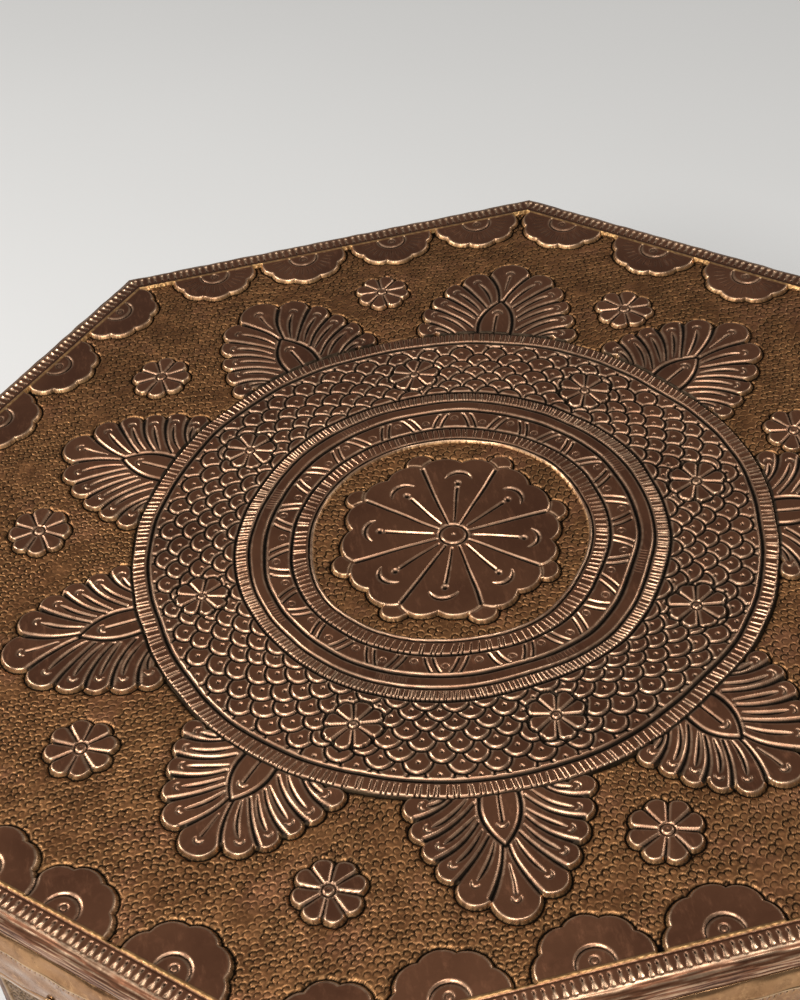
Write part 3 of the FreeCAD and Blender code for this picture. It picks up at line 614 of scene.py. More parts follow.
# Half rosettes: the side and its turn, their centres along it, and whether fine rays are cut in them
HALF_ROSETTES = (
    (LONG, 0.0, (-55.3, -15.2, 25.2, 64.5), True),
    (LONG, 90.0, (-62.0, -21.0, 20.0, 61.0), False),
    (LONG, 180.0, (-43.0, -2.8, 41.6, 78.0), False),
    (LONG, 270.0, (-60.0, -19.0, 22.0, 63.0), False),
    (SHORT, 45.0, (-25.4, 12.7, 53.7), False),
    (SHORT, 135.0, (-25.4, 18.2, 51.0), False),
    (SHORT, 225.0, (-41.0, 0.0, 41.0), False),
    (SHORT, 315.0, (-51.7, -6.6, 36.5), True),
)
# The hand's unevenness: the plan drifts by about half a millimetre, and the sheet is wavy
WARPS = (Drift(11, 70.0), Drift(12, 70.0))
FINE_WARPS = (Drift(13, 22.0), Drift(14, 22.0))
SHEET_WAVE = Drift(16, 38.0)
PUNCH_DEPTH = 0.52


def inset(x, y):
    """Distance in from the nearest side of the top."""
    nearest = np.full(x.shape, 1e9)
    for side, _, degrees in all_sides():
        nx, ny = turned(0.0, 1.0, degrees)
        nearest = np.minimum(nearest, side.reach - x * nx - y * ny)
    return nearest


def lay_palmettes(field, mx, my):
    """The palmettes that stand on the outer milled ring, at points given about the medallion's centre."""
    radius = np.hypot(mx, my)
    fan = smooth(119.0, 119.6, radius)
    for number, (degrees, length) in enumerate(zip(PALMETTE_DEGREES, PALMETTE_LENGTHS)):
        u, v = unturned(mx, my, degrees)
        u = u - MEDALLION_RADIUS
        near = (np.abs(v) < PALMETTE_SPAN) & (u > -8.0) & (u < 54.0) & (radius > 118.2)
        field.lay(near, palmette, u, v, length, np.random.default_rng(40 + number), fade=fan)


def lay_half_rosettes(field, x, y):
    """The half rosettes that hang from the border line."""
    for side, degrees, places, rays in HALF_ROSETTES:
        along, out = unturned(x, y, degrees)
        inward = side.reach - BORDER_WIDTH - out
        for number, place in enumerate(places):
            beside = along - place
            near = (np.abs(beside) < HALF_ROSETTE_SPAN) & (inward < HALF_ROSETTE_SPAN) & (inward > -8.0)
            rng = np.random.default_rng(80 + int(degrees) + number)
            field.lay(near, half_rosette, beside, inward, rays, rng)


def top_relief(x, y):
    """Depth below the flats, share of ground and dark lines (patina and painted shade) at points of the top's
    plane.
    """
    margin = inset(x, y)
    hold = smooth(BORDER_WIDTH, BORDER_WIDTH + 30.0, margin)
    drift_x, drift_y = (0.55 * warp(x, y) + 0.12 * fine(x, y) for warp, fine in zip(WARPS, FINE_WARPS))
    mx = x - MEDALLION_X + hold * drift_x
    my = y - MEDALLION_Y + hold * drift_y
    radius = np.hypot(mx, my)
    field = Field(np.zeros(len(x)), np.zeros(len(x)))
    dark = np.zeros(len(x))
    index = np.flatnonzero(radius < MEDALLION_REACH)
    if len(index):
        raised, field.cut[index], dark[index] = medallion(mx[index], my[index])
        field.raised[index] = raised * smooth(119.5, 118.9, radius[index])
    lay_palmettes(field, mx, my)
    for number, (cx, cy) in enumerate(SMALL_FLOWERS):
        fx, fy = mx + MEDALLION_X - cx, my + MEDALLION_Y - cy
        near = np.hypot(x - cx, y - cy) < SMALL_FLOWER_RADIUS + 3.0
        field.lay(near, small_flower, fx, fy, SMALL_FLOWER_RADIUS, number * 40.0 + TURN_DEGREES / 2)
    lay_half_rosettes(field, x, y)
    field.cut *= smooth(BORDER_WIDTH - 0.4, BORDER_WIDTH + 0.4, margin)
    ground = 1.0 - field.raised
    punched = np.zeros(len(x))
    index = np.flatnonzero(ground > 0.02)
    if len(index):
        punched[index] = ground_punches(x[index], y[index], PUNCH_DEPTH)
    down = np.minimum(ground * GROUND_DEPTH + ground**2 * punched + field.cut, DEEPEST)
    down = down - 0.05 * SHEET_WAVE(x, y) * field.raised * hold
    # Dark lines: patina and painted shade in the cuts, the grooves and the punches.
    line = largest(smooth(0.32, 0.58, field.cut), dark, 0.95 * ground * smooth(0.10, 0.28, punched))
    return down, ground, line


# Materials

# Sockets of a colour mix: its share, its two colours and what comes out
MIX_SHARE, MIX_A, MIX_B, MIX_RESULT = 0, 6, 7, 2
SCRATCH_DEGREES = 35.0


def scaled(colour, factor):
    return tuple(factor * c for c in colour)


class Shader:
    """Short ways to add nodes to a new material. A link is a node and the name of its output."""

    def __init__(self, name):
        self.material = bpy.data.materials.new(name)
        self.material.use_nodes = True
        self.tree = self.material.node_tree
        self.tree.nodes.clear()
        self.shader = self.add("ShaderNodeBsdfPrincipled")
        self.into((self.shader, "BSDF"), self.add("ShaderNodeOutputMaterial"), "Surface")
        self.place = self.add("ShaderNodeTexCoord")

    def add(self, kind, inputs=None, **settings):
        node = self.tree.nodes.new(kind)
        for key, value in settings.items():
            setattr(node, key, value)
        for name, value in (inputs or {}).items():
            self.into(value, node, name)
        return node

    def into(self, value, target, name):
        """Feeds a link, or sets a plain value or colour."""
        socket = target.inputs[name]
        if isinstance(value, tuple) and hasattr(value[0], "outputs"):
            self.tree.links.new(value[0].outputs[value[1]], socket)
        else:
            socket.default_value = (*value, 1.0) if socket.type == "RGBA" else value

    def finish(self, colour, rough, height=None, strength=0.0, depth=0.0):
        """Feeds the surface. Height makes fine marks that are too small to model, their depth in metres."""
        self.into(colour, self.shader, "Base Color")
        self.into(rough, self.shader, "Roughness")
        if height:
            bump = self.add("ShaderNodeBump", {"Height": height, "Strength": strength, "Distance": depth})
            self.into((bump, "Normal"), self.shader, "Normal")
        return self.material

    def noise(self, scale, detail=3.0, stretch=(1.0, 1.0, 1.0), turn_degrees=0.0, roughness=0.55):
        """Noise in object space, 0 to 1. Scale is in cells per metre."""
        turn = (0.0, 0.0, math.radians(-turn_degrees))
        mapping = {"Vector": (self.place, "Object"), "Scale": stretch, "Rotation": turn}
        place = (self.add("ShaderNodeMapping", mapping), "Vector")
        pattern = {"Vector": place, "Scale": scale, "Detail": detail, "Roughness": roughness}
        return self.add("ShaderNodeTexNoise", pattern), "Fac"

    def steps(self, value, low, high, to_low=0.0, to_high=1.0):
        """Maps a range of values smoothly onto another."""
        inputs = {"Value": value, "From Min": low, "From Max": high, "To Min": to_low, "To Max": to_high}
        return self.add("ShaderNodeMapRange", inputs, interpolation_type="SMOOTHSTEP"), "Result"

    def mix(self, share, a, b):
        """Mixes two colours, each plain or a link."""
        return self.add("ShaderNodeMix", {MIX_SHARE: share, MIX_A: a, MIX_B: b}, data_type="RGBA"), MIX_RESULT

    def math(self, operation, a, b):
        return self.add("ShaderNodeMath", {0: a, 1: b}, operation=operation), "Value"

    def times(self, a, b):
        return self.math("MULTIPLY", a, b)


def relief_brass(name, flat, flat_warm, ground, groove_patina_and_shade, rubbed, ground_wear_and_highlight, flat_rough):
    """Brass with a brown patina, bright on edges from wear and painted highlight, and dark in the chased
    lines from patina and painted shade.
    """
    s = Shader(name)
    masks = (s.add("ShaderNodeAttribute", attribute_name="relief"), "Color")
    split = s.add("ShaderNodeSeparateColor", {"Color": masks})
    on_ground, in_groove, wear_and_highlight_mask = ((split, mask) for mask in ("Red", "Green", "Blue"))
    spots = s.steps(s.noise(210.0, 5.0, roughness=0.65), 0.42, 0.72)
    # Warmer patches at random; they also stand in for a broad painted sheen on the flats.
    colour = s.mix(s.steps(s.noise(22.0, 4.0), 0.35, 0.68), flat, flat_warm)
    colour = s.mix(s.times(spots, 0.45), colour, scaled(flat, 0.45))
    marks = s.steps(s.noise(330.0, 6.0, (1.0, 0.3, 1.0), SCRATCH_DEGREES, 0.75), 0.51, 0.71)
    colour = s.mix(s.times(marks, 0.5), colour, scaled(flat_warm, 1.5))
    darker = (0.60 * ground[0], 0.57 * ground[1], 0.58 * ground[2])
    ground_tone = s.mix(s.steps(s.noise(95.0, 5.0, roughness=0.7), 0.36, 0.62), ground, darker)
    patches = s.steps(s.noise(42.0, 5.0, roughness=0.65), 0.50, 0.68, 0.0, 0.6)
    ground_tone = s.mix(patches, ground_tone, scaled(flat_warm, 1.2))
    colour = s.mix(on_ground, colour, ground_tone)
    # Chased lines and hollows take a near-black colour: dark patina together with painted shade.
    colour = s.mix(in_groove, colour, groove_patina_and_shade)
    # Bright on edges: wear together with painted highlights, broken up by noise, in a golden tone on the
    # ground.
    wear_and_highlight_share = s.times(wear_and_highlight_mask, s.steps(s.noise(60.0, 4.0), 0.25, 0.6, 0.45, 0.85))
    wear_and_highlight_share = s.times(wear_and_highlight_share, s.steps(s.noise(420.0, 3.0), 0.30, 0.55, 0.55, 1.0))
    colour = s.mix(wear_and_highlight_share, colour, s.mix(on_ground, rubbed, ground_wear_and_highlight))
    rough = s.steps(spots, 0.0, 1.0, flat_rough, flat_rough + 0.14)
    rough = s.math("ADD", rough, s.times(on_ground, 0.08))
    rough = s.math("ADD", rough, s.times(in_groove, 0.22))
    rough = s.math("SUBTRACT", rough, s.times(wear_and_highlight_share, 0.12))
    s.shader.inputs["Metallic"].default_value = 1.0
    scratch = s.noise(900.0, 2.0, (1.0, 0.12, 1.0), SCRATCH_DEGREES)
    height = s.math("ADD", s.noise(1500.0, 3.0), s.times(scratch, 0.6))
    return s.finish(colour, rough, height, 0.35, 0.00003)


BRASS_LOOKS = {
    "brass_top": dict(
        flat=(0.190, 0.079, 0.043),
        flat_warm=(0.310, 0.134, 0.070),
        ground=(0.365, 0.166, 0.067),
        groove_patina_and_shade=(0.006, 0.004, 0.003),
        rubbed=(0.930, 0.640, 0.410),
        ground_wear_and_highlight=(0.900, 0.550, 0.225),
        flat_rough=0.36,
    ),
    "brass_edge": dict(
        flat=(0.330, 0.165, 0.078),
        flat_warm=(0.520, 0.300, 0.145),
        ground=(0.420, 0.280, 0.120),
        groove_patina_and_shade=(0.040, 0.022, 0.013),
        rubbed=(0.900, 0.660, 0.400),
        ground_wear_and_highlight=(0.840, 0.580, 0.270),
        flat_rough=0.20,
    ),
    "brass_side": dict(
        flat=(0.180, 0.088, 0.050),
        flat_warm=(0.265, 0.140, 0.075),
        ground=(0.330, 0.190, 0.080),
        groove_patina_and_shade=(0.018, 0.010, 0.007),
        rubbed=(0.780, 0.560, 0.330),
        ground_wear_and_highlight=(0.760, 0.540, 0.260),
        flat_rough=0.32,
    ),
}
BRASS = {slot: relief_brass(slot, **look) for slot, look in BRASS_LOOKS.items()}


def teak(name, turn_degrees, upright=False, pale=0.0):
    """Oiled teak whose grain runs along a board: long darker bands, fine pores and uneven tone."""
    s = Shader(name)
    along, across = (0.06, 1.0)
    stretch = (across, across, along) if upright else (along, across, across)
    bands = s.steps(s.noise(95.0, 5.0, stretch, turn_degrees, 0.6), 0.32, 0.68)
    pores = s.steps(s.noise(900.0, 3.0, stretch, turn_degrees, 0.7), 0.52, 0.72)
    dark = tuple(c + pale * d for c, d in zip((0.085, 0.040, 0.019), (0.12, 0.07, 0.035)))
    light = tuple(c + pale * d for c, d in zip((0.200, 0.102, 0.047), (0.16, 0.11, 0.06)))
    colour = s.mix(bands, light, dark)
    colour = s.mix(s.times(s.noise(9.0, 2.0), 0.5), colour, scaled(light, 0.55))
    colour = s.mix(s.times(pores, 0.6), colour, scaled(dark, 0.4))
    height = s.math("SUBTRACT", s.times(bands, 0.4), pores)
    return s.finish(colour, s.steps(pores, 0.0, 1.0, 0.46, 0.68), height, 0.5, 0.00012)


def plain_metal(name, clean, stained, rough):
    """Small fittings: spotted, slightly worn metal."""
    s = Shader(name)
    spots = s.steps(s.noise(420.0, 4.0), 0.4, 0.7)
    s.shader.inputs["Metallic"].default_value = 1.0
    level = s.steps(spots, 0.0, 1.0, rough, rough + 0.2)
    return s.finish(s.mix(spots, clean, stained), level, s.noise(1600.0, 2.0), 0.3, 0.00004)


def dress_node(node, material):
    """Gives a CAD node a material of this scene."""
    piece = bpy.data.objects[node]
    if not piece.material_slots:
        piece.data.materials.append(material)
    for slot in piece.material_slots:
        slot.material = material


def dress_wood_and_fittings():
    """Gives each piece of wood its own grain, and the fittings their metals."""
    for name in ("front", "middle", "back"):
        dress_node(f"top_plank_{name}", teak(f"teak_plank_{name}", 2.0))
    for number in (1, 2):
        dress_node(f"batten_{number}", teak(f"teak_batten_{number}", 90.0, pale=0.3))
    for side, number, degrees in all_sides():
        kind = f"{side.name}_{number}"
        dress_node(f"side_panel_{kind}", teak(f"teak_panel_{kind}", degrees, upright=True))
        dress_node(f"edge_moulding_{kind}", teak(f"teak_moulding_{kind}", degrees))
    for number in range(1, 9):
        dress_node(f"corner_block_{number}", teak(f"teak_block_{number}", 0.0, upright=True, pale=0.2))
    dress_node("plank_dowels", teak("teak_dowels", 90.0, pale=0.6))
    steel = ((0.42, 0.41, 0.39), (0.16, 0.12, 0.09), 0.38)
    brass = ((0.42, 0.27, 0.13), (0.12, 0.07, 0.035), 0.32)
    dress_node("batten_screws", plain_metal("screw_steel_battens", *steel))
    dress_node("block_screws", plain_metal("screw_steel_blocks", *steel))
    dress_node("edge_pins", plain_metal("brass_pins_edge", *brass))
    dress_node("panel_pins", plain_metal("brass_pins_side", *brass))


# Meshes from grids of points. Each grid has spare rows and columns all round, which are cut off in the end.

GHOST = 3
INNER = (slice(GHOST, -GHOST), slice(GHOST, -GHOST))
UV_MARGIN = 0.002


def add_object(name, data):
    piece = bpy.data.objects.new(name, data)
    bpy.context.scene.collection.objects.link(piece)
    return piece


def grid(first, second):
    return np.meshgrid(first, second, indexing="ij")


def spread(low, high, count):
    """Evenly spaced values from low to high, with spare ones at each end."""
    step = (high - low) / (count - 1)
    return np.linspace(low - GHOST * step, high + GHOST * step, count + 2 * GHOST)


def with_ghosts(places):
    """A list of places with spare ones added at each end, evenly spaced."""
    before = [places[0] - (places[1] - places[0]) * k for k in range(GHOST, 0, -1)]
    after = [places[-1] + (places[-1] - places[-2]) * k for k in range(1, GHOST + 1)]
    return np.concatenate([before, places, after])


def slopes(points):
    """Unit normals of a grid of points, without its spare ring."""
    du = points[2:, 1:-1] - points[:-2, 1:-1]
    dv = points[1:-1, 2:] - points[1:-1, :-2]
    normal = np.cross(du, dv)[GHOST - 1 : 1 - GHOST, GHOST - 1 : 1 - GHOST]
    length = np.linalg.norm(normal, axis=2, keepdims=True)
    return normal / np.maximum(length, 1e-12)


def local_mean(values):
    """Mean round each point, two points each way, without the spare ring."""
    reach = 2
    rows, columns = (size - 2 * GHOST for size in values.shape)
    total = np.zeros((rows, columns))
    for i in range(GHOST - reach, GHOST + reach + 1):
        for j in range(GHOST - reach, GHOST + reach + 1):
            total += values[i : i + rows, j : j + columns]
    return total / (2 * reach + 1) ** 2


def steepness(points, down):
    """How steeply the relief falls or climbs, as a slope, without the spare ring."""
    total = 0.0
    for step in ((1, 0), (0, 1)):
        after = tuple(slice(GHOST + d, -GHOST + d) for d in step)
        before = tuple(slice(GHOST - d, -GHOST - d) for d in step)
        run = np.linalg.norm(points[after] - points[before], axis=2)
        total = total + ((down[after] - down[before]) / np.maximum(run, 1e-6)) ** 2
    return np.sqrt(total)


def relief_masks(points, down, ground, line, painted_highlight):
    """Masks for the material: ground, dark lines and hollows with patina and painted shade, and what is made
    bright.

    Convex edges are bright from wear; walls and the painted highlights that are passed in add painted
    highlight. The ground's lip beside a motif's foot is darkened as painted shade."""
    relief = local_mean(down) - down[INNER]
    wall = smooth(0.2, 0.6, steepness(points, down))
    # Painted shade on the ground's lip beside a motif's foot.
    lip = ground * smooth(0.10, 0.22, relief)
    # Dark patina in hollows and chased lines, with painted shade there too.
    groove_patina_and_shade = largest(smooth(0.08, 0.22, -relief) * (1 - 0.6 * ground), line, 0.6 * lip)
    # Wear brightens convex edges; the walls, the outer walls of raised motifs most, get painted highlight.
    outer_wall = 4 * ground * (1 - ground)
    rubbed = np.maximum(0.60 * smooth(0.04, 0.22, relief), (0.35 + 0.5 * outer_wall) * wall)
    rubbed *= 1 - 0.5 * ground - 0.4 * lip
    rubbed = np.maximum(rubbed * (1 - 0.9 * line), painted_highlight)
    return np.stack([ground, groove_patina_and_shade, rubbed, np.ones(groove_patina_and_shade.shape)], -1)


def grid_mesh(name, points, down, ground, line, painted_highlight, slot, node):
    """A sheet through a grid of points, with its masks, that stands for a CAD node."""
    inner = points[INNER]
    rows, columns = inner.shape[:2]
    index = np.arange(rows * columns).reshape(rows, columns)
    quads = np.stack([index[:-1, :-1], index[1:, :-1], index[1:, 1:], index[:-1, 1:]], -1).reshape(-1, 4)
    mesh = bpy.data.meshes.new(name)
    mesh.vertices.add(rows * columns)
    mesh.vertices.foreach_set("co", (inner * MM).astype(np.float32).ravel())
    mesh.loops.add(quads.size)
    mesh.loops.foreach_set("vertex_index", quads.astype(np.int32).ravel())
    mesh.polygons.add(len(quads))
    mesh.polygons.foreach_set("loop_start", np.arange(0, quads.size, 4, dtype=np.int32))
    mesh.polygons.foreach_set("use_smooth", np.ones(len(quads), bool))
    mesh.update(calc_edges=True)
    masks = relief_masks(points, down, ground[INNER], line[INNER], painted_highlight[INNER])
    layer = mesh.color_attributes.new("relief", "FLOAT_COLOR", "POINT")
    layer.data.foreach_set("color", masks.astype(np.float32).ravel())
    place = np.stack(grid(*(np.linspace(UV_MARGIN, 1.0 - UV_MARGIN, size) for size in (rows, columns))), -1)
    bake_map = mesh.uv_layers.new(name="OFBake")
    bake_map.uv.foreach_set("vector", place.reshape(-1, 2)[quads.ravel()].astype(np.float32).ravel())
    mesh.normals_split_custom_set_from_vertices(slopes(points).reshape(-1, 3).astype(np.float32))
    mesh.materials.append(BRASS[slot])
    piece = add_object(name, mesh)
    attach(piece, "root")
    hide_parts(node)
    return piece


# Sheets of the top's plane

DISC_EDGE = 52.3
BAND_EDGE = 79.8
SCALE_EDGE = 112.3
RING_EDGE = 118.7
GROUND_EDGE = BORDER_WIDTH + 1.0
# Rings of sheet: name, inner and outer radius, points across and round, and parts
RINGS = (
    ("top_flower", 0.02, DISC_EDGE, 150, 1000, 2),
    ("top_inner_rings", DISC_EDGE, BAND_EDGE, 84, 2160, 3),
    ("top_scale_band", BAND_EDGE, SCALE_EDGE, 96, 1980, 3),
    ("top_outer_ring", SCALE_EDGE, RING_EDGE, 26, 3600, 1),
)
# Points along a side and across it, for each kind of sheet
GROUND_COUNTS = {"long": (440, 205), "short": (350, 205)}
BORDER_COUNTS = {"long": (500, 62), "short": (400, 62)}
STRIP_COLUMNS = {"long": 460, "short": 370}


def flat_sheet(name, x, y):
    """A stretch of the top's plane with its relief."""
    down, ground, line = (values.reshape(x.shape) for values in top_relief(x.ravel(), y.ravel()))
    points = np.stack([x, y, TOP - down], -1)
    grid_mesh(name, points, down, ground, line, np.zeros(x.shape), "brass_top", "top_sheet")


def ring_sheets(name, inner, outer, ring_count, turn_count, parts):
    """A flat ring about the medallion's centre, in equal parts of a turn."""
    for part in range(parts):
        low, high = 2 * math.pi * part / parts, 2 * math.pi * (part + 1) / parts
        radius, angle = grid(spread(inner, outer, ring_count), spread(low, high, turn_count // parts + 1))
        x = MEDALLION_X + radius * np.cos(angle)
        y = MEDALLION_Y + radius * np.sin(angle)
        flat_sheet(f"{name}_{part + 1}" if parts > 1 else name, x, y)


def outer_sheets():
    """The ground round the medallion: eight parts, each from the outer ring to one side's border line."""
    for side, number, degrees in all_sides():
        line = side.reach - GROUND_EDGE
        half = side.half_at(line)
        columns, rows = GROUND_COUNTS[side.name]
        share, depth = grid(spread(-1.0, 1.0, columns), spread(0.0, 1.0, rows))
        far_x, far_y = turned(half * share, line, degrees)
        ends = (turned(half * sign, line, degrees) for sign in (-1, 1))
        first, last = (math.atan2(y - MEDALLION_Y, x - MEDALLION_X) for x, y in ends)
        sweep = (last - first + math.pi) % (2 * math.pi) - math.pi
        angle = first + sweep * (share + 1) / 2
        near_x = MEDALLION_X + RING_EDGE * np.cos(angle)
        near_y = MEDALLION_Y + RING_EDGE * np.sin(angle)
        x = near_x + (far_x - near_x) * depth
        y = near_y + (far_y - near_y) * depth
        flat_sheet(f"top_ground_{side.name}_{number}", x, y)


# The wrapped border of the top

NOTCH_PITCH = 2.9
BEAD_HALF_WIDTH, BEAD_RISE = 0.9, 0.30
BORDER_STREAKS = Drift(21, 1.1)
BORDER_DENTS = Drift(22, 7.0)
BEAD_GRAIN = Drift(23, 1.6)
HEM_RADIUS = 0.6


def teardrops(along, out, seed):
    """Hollows struck across the shoulder, a small wedge and a drop below it, with their masks: the wedge's
    dark, which is patina and painted shade, and the drop's painted highlight.
    """
    cell = np.round(along / NOTCH_PITCH)
    spans = enumerate((0.45, 0.5, 0.12))
    shift, start, lean = (span * (cell_random(cell, k, seed) - 0.5) for k, span in spans)
    across = along - cell * NOTCH_PITCH - shift - lean * (out - 5.0)
    place = out - start
    wedge = stroke(across, place, [(0.0, 2.6), (0.0, 4.2)], [0.65, 0.25], 0.5)
    drop = stroke(across, place, [(0.0, 3.6), (0.0, 6.3)], [0.4, 0.85], 1.0)
    fall = np.clip((place - 3.0) / 3.4, 0.0, 1.0)
    down = np.maximum(wedge, drop * fall * 0.8)
    return down, smooth(0.1, 0.35, wedge) * (1 - drop), smooth(0.15, 0.5, drop)


def border_relief(along, out, seed):
    """Relief of the border from its line outward along the wrapped surface, its dark mask of patina and
    painted shade, and its painted highlights.
    """
    bead = dip(out, BEAD_HALF_WIDTH)
    grain = BEAD_GRAIN(along, out)
    streaks = BORDER_STREAKS(along * 0.05, out)
    skirt = smooth(7.6, 8.6, out)
    dents = 0.07 * BORDER_DENTS(along * 0.6, out * 1.3) * smooth(5.0, 9.0, out)
    drops, wedges, drop_highlights = teardrops(along, out, seed)
    down = 0.10 * smooth(0.3, 0.9, out) - BEAD_RISE * bead * (1 + 0.25 * grain) + drops
    down = down + 0.05 * streaks * skirt + dents
    # Dark: patina and painted shade in the wedges and in a line beside the bead, and dark streaks of painted
    # reflection on the skirt.
    line = largest(wedges, 0.6 * skirt * smooth(0.3, 1.2, streaks), 0.85 * dip(out - 1.35, 0.5))
    # Painted highlights: on the bead, in the drops, in bright streaks on the skirt and in a band near the
    # skirt's top.
    painted_highlight = largest(
        0.65 * smooth(0.2, 0.7, bead) * (0.8 + 0.2 * grain),
        0.9 * drop_highlights,
        0.7 * skirt * smooth(0.0, 1.2, -streaks),
        0.8 * smooth(6.9, 7.3, out) * smooth(8.1, 7.6, out),
    )
    return down, line, np.clip(painted_highlight, 0.0, 1.0)


def border_sheets():
    """Eight mitred strips of the top sheet: the border, the shoulder, the skirt and its rounded hem."""
    flat = GROUND_EDGE - SHOULDER_RADIUS
    skirt = TOP - SHOULDER_RADIUS - SKIRT_BOTTOM - HEM_RADIUS
    bend = SHOULDER_RADIUS * math.pi / 2
    total = flat + bend + skirt + HEM_RADIUS * math.pi / 2
    for side, number, degrees in all_sides():
        columns, rows = BORDER_COUNTS[side.name]
        share, s = grid(spread(-1.0, 1.0, columns), spread(0.0, total, rows))
        first = np.clip((s - flat) / SHOULDER_RADIUS, 0.0, math.pi / 2)
        second = np.clip((s - flat - bend - skirt) / HEM_RADIUS, 0.0, math.pi * 0.75)
        turn = first + second
        straight = np.clip(s - flat - bend, 0.0, skirt)
        margin = GROUND_EDGE - np.minimum(s, flat) - SHOULDER_RADIUS * np.sin(first)
        margin = margin + HEM_RADIUS * (1 - np.cos(second))
        height = TOP - SHOULDER_RADIUS * (1 - np.cos(first)) - straight - HEM_RADIUS * np.sin(second)
        reach = side.reach - margin
        along = share * side.half_at(reach)
        x, y = turned(along, reach, degrees)
        out = s - (GROUND_EDGE - BORDER_WIDTH)
        bead = dip(out, BEAD_HALF_WIDTH)
        inner = smooth(0.35, -0.35, out)
        down, ground, line = np.zeros(x.shape), np.zeros(x.shape), np.zeros(x.shape)
        near = inner > 0
        down[near], ground[near], line[near] = top_relief(x[near], y[near])
        edge_down, edge_line, painted_highlight = border_relief(along, out, number)
        down = down * inner + edge_down * (1 - inner) - BEAD_RISE * bead * inner
        ground = np.maximum(ground * inner, smooth(0.1, 0.5, bead))
        line = line * inner + edge_line * (1 - inner)
        nx, ny = turned(0.0, 1.0, degrees)
        sunk = down * np.sin(turn)
        points = np.stack([x - sunk * nx, y - sunk * ny, height - down * np.cos(turn)], -1)
        name = f"top_border_{side.name}_{number}"
        grid_mesh(name, points, down, ground, line, painted_highlight, "brass_top", "top_sheet")


# Edge strips below the crease

STROKE_PITCH = 2.0
STRIP_STREAKS = Drift(31, 1.3)
STRIP_DENTS = Drift(32, 12.0)
STRIP_LINE_RISE, STRIP_LINE_HALF_WIDTH = 0.32, 0.55
PROFILE_ROUNDING = 0.9


def rounded_profile(points, places):
    """Reach and height at places along a polyline, in millimetres from its start, corners rounded."""
    length = np.concatenate([[0.0], np.cumsum(np.hypot(*np.diff(points, axis=0).T))])
    fine = np.linspace(-4.0, length[-1] + 4.0, 3000)
    first = (points[1] - points[0]) / (length[1] - length[0])
    last = (points[-1] - points[-2]) / (length[-1] - length[-2])
    count = max(int(PROFILE_ROUNDING / (fine[1] - fine[0])), 1)
    kernel = np.ones(count) / count
    result = []
    for axis in (0, 1):
        value = np.interp(fine, length, points[:, axis])
        value += np.minimum(fine, 0.0) * first[axis] + np.maximum(fine - length[-1], 0.0) * last[axis]
        value = np.convolve(np.pad(value, count, mode="edge"), kernel, mode="same")[count:-count]
        result.append(np.interp(places, fine, value))
    return result


def strip_relief(along, s, height, line, seed):
    """A thin raised line, short strokes under it and dents. Line is its place along the profile."""
    below = s - line
    cell = np.round(along / STROKE_PITCH)
    shift = 0.4 * (cell_random(cell, 0.0, seed) - 0.5)
    force = 1 + 0.25 * (cell_random(cell, 1.0, seed) - 0.5)
    across = along - cell * STROKE_PITCH - shift - 0.35 * (below - 1.8)
    down = -STRIP_LINE_RISE * dip(below, STRIP_LINE_HALF_WIDTH)
    down += stroke(across, below, [(0.0, 0.95), (0.0, 2.3)], [0.5, 0.32], 0.28) * force
    down += 0.008 * STRIP_STREAKS(along * 0.05, s) + 0.11 * STRIP_DENTS(along, s * 1.5)
    lower = height - STRIP_BOTTOM
    down += 0.3 * dip(lower - 3.4, 0.6) * (s > line) - 0.1 * dip(lower - 2.2, 0.9) * (s > line)
    return down


def edge_sheets():
    """Eight mitred strips: a flared shelf, a thin raised line, an upright face and a lip turned under."""
    for side, number, degrees in all_sides():
        face = side.reach + FLARE_WIDTH
        profile = np.array(
            [
                (side.reach - 1.4, STRIP_TOP - 0.5),
                (side.reach - 0.5, STRIP_TOP + 0.1),
                (side.reach + 0.35, STRIP_TOP - 1.4),
                (side.reach + 0.7 * FLARE_WIDTH, STRIP_TOP - FLARE_DROP * 0.75),
                (face, STRIP_TOP - FLARE_DROP),
                (face, STRIP_BOTTOM + 0.1),
                (face - LIP_WIDTH, STRIP_BOTTOM + 0.1),
            ]
        )
        sizes = np.hypot(*np.diff(profile, axis=0).T)
        line = sizes[:4].sum() + 0.6
        corner = sizes[:5].sum()
        stops = [0.0, line - 1.2, line + 3.4, corner - 4.4, corner + 0.8, corner + LIP_WIDTH]
        counts = (14, 17, 12, 12, 4)
        runs = [np.linspace(low, high, count)[:-1] for low, high, count in zip(stops, stops[1:], counts)]
        places = with_ghosts(np.concatenate(runs + [stops[-1:]]))
        share, s = grid(spread(-1.0, 1.0, STRIP_COLUMNS[side.name]), places)
        reach, height = rounded_profile(profile, places)
        d_reach, d_height = np.gradient(reach, places), np.gradient(height, places)
        size = np.hypot(d_reach, d_height)
        normal_out, normal_up = -d_height / size, d_reach / size
        reach, height = np.broadcast_to(reach, s.shape), np.broadcast_to(height, s.shape)
        along = share * side.half_at(reach)
        fade = smooth(0.8, 2.2, s) * smooth(corner + 0.8, corner - 0.6, s)
        down = strip_relief(along, s, height, line, number + 10) * fade
        x, y = turned(along, reach - down * normal_out, degrees)
        points = np.stack([x, y, height - down * normal_up], -1)
        plain = np.zeros(down.shape)
        # Painted highlights along the thin raised line and at the lower corner of the upright face.
        painted_highlight = np.maximum(0.7 * dip(s - line, 0.6), 0.5 * dip(s - corner + 0.6, 0.9))
        name, node = (f"{kind}_{side.name}_{number}" for kind in ("edge_band", "edge_strip"))
        grid_mesh(name, points, down, plain, plain, painted_highlight, "brass_edge", node)


# Cladding of the sides. The arch repeats the panels' own.

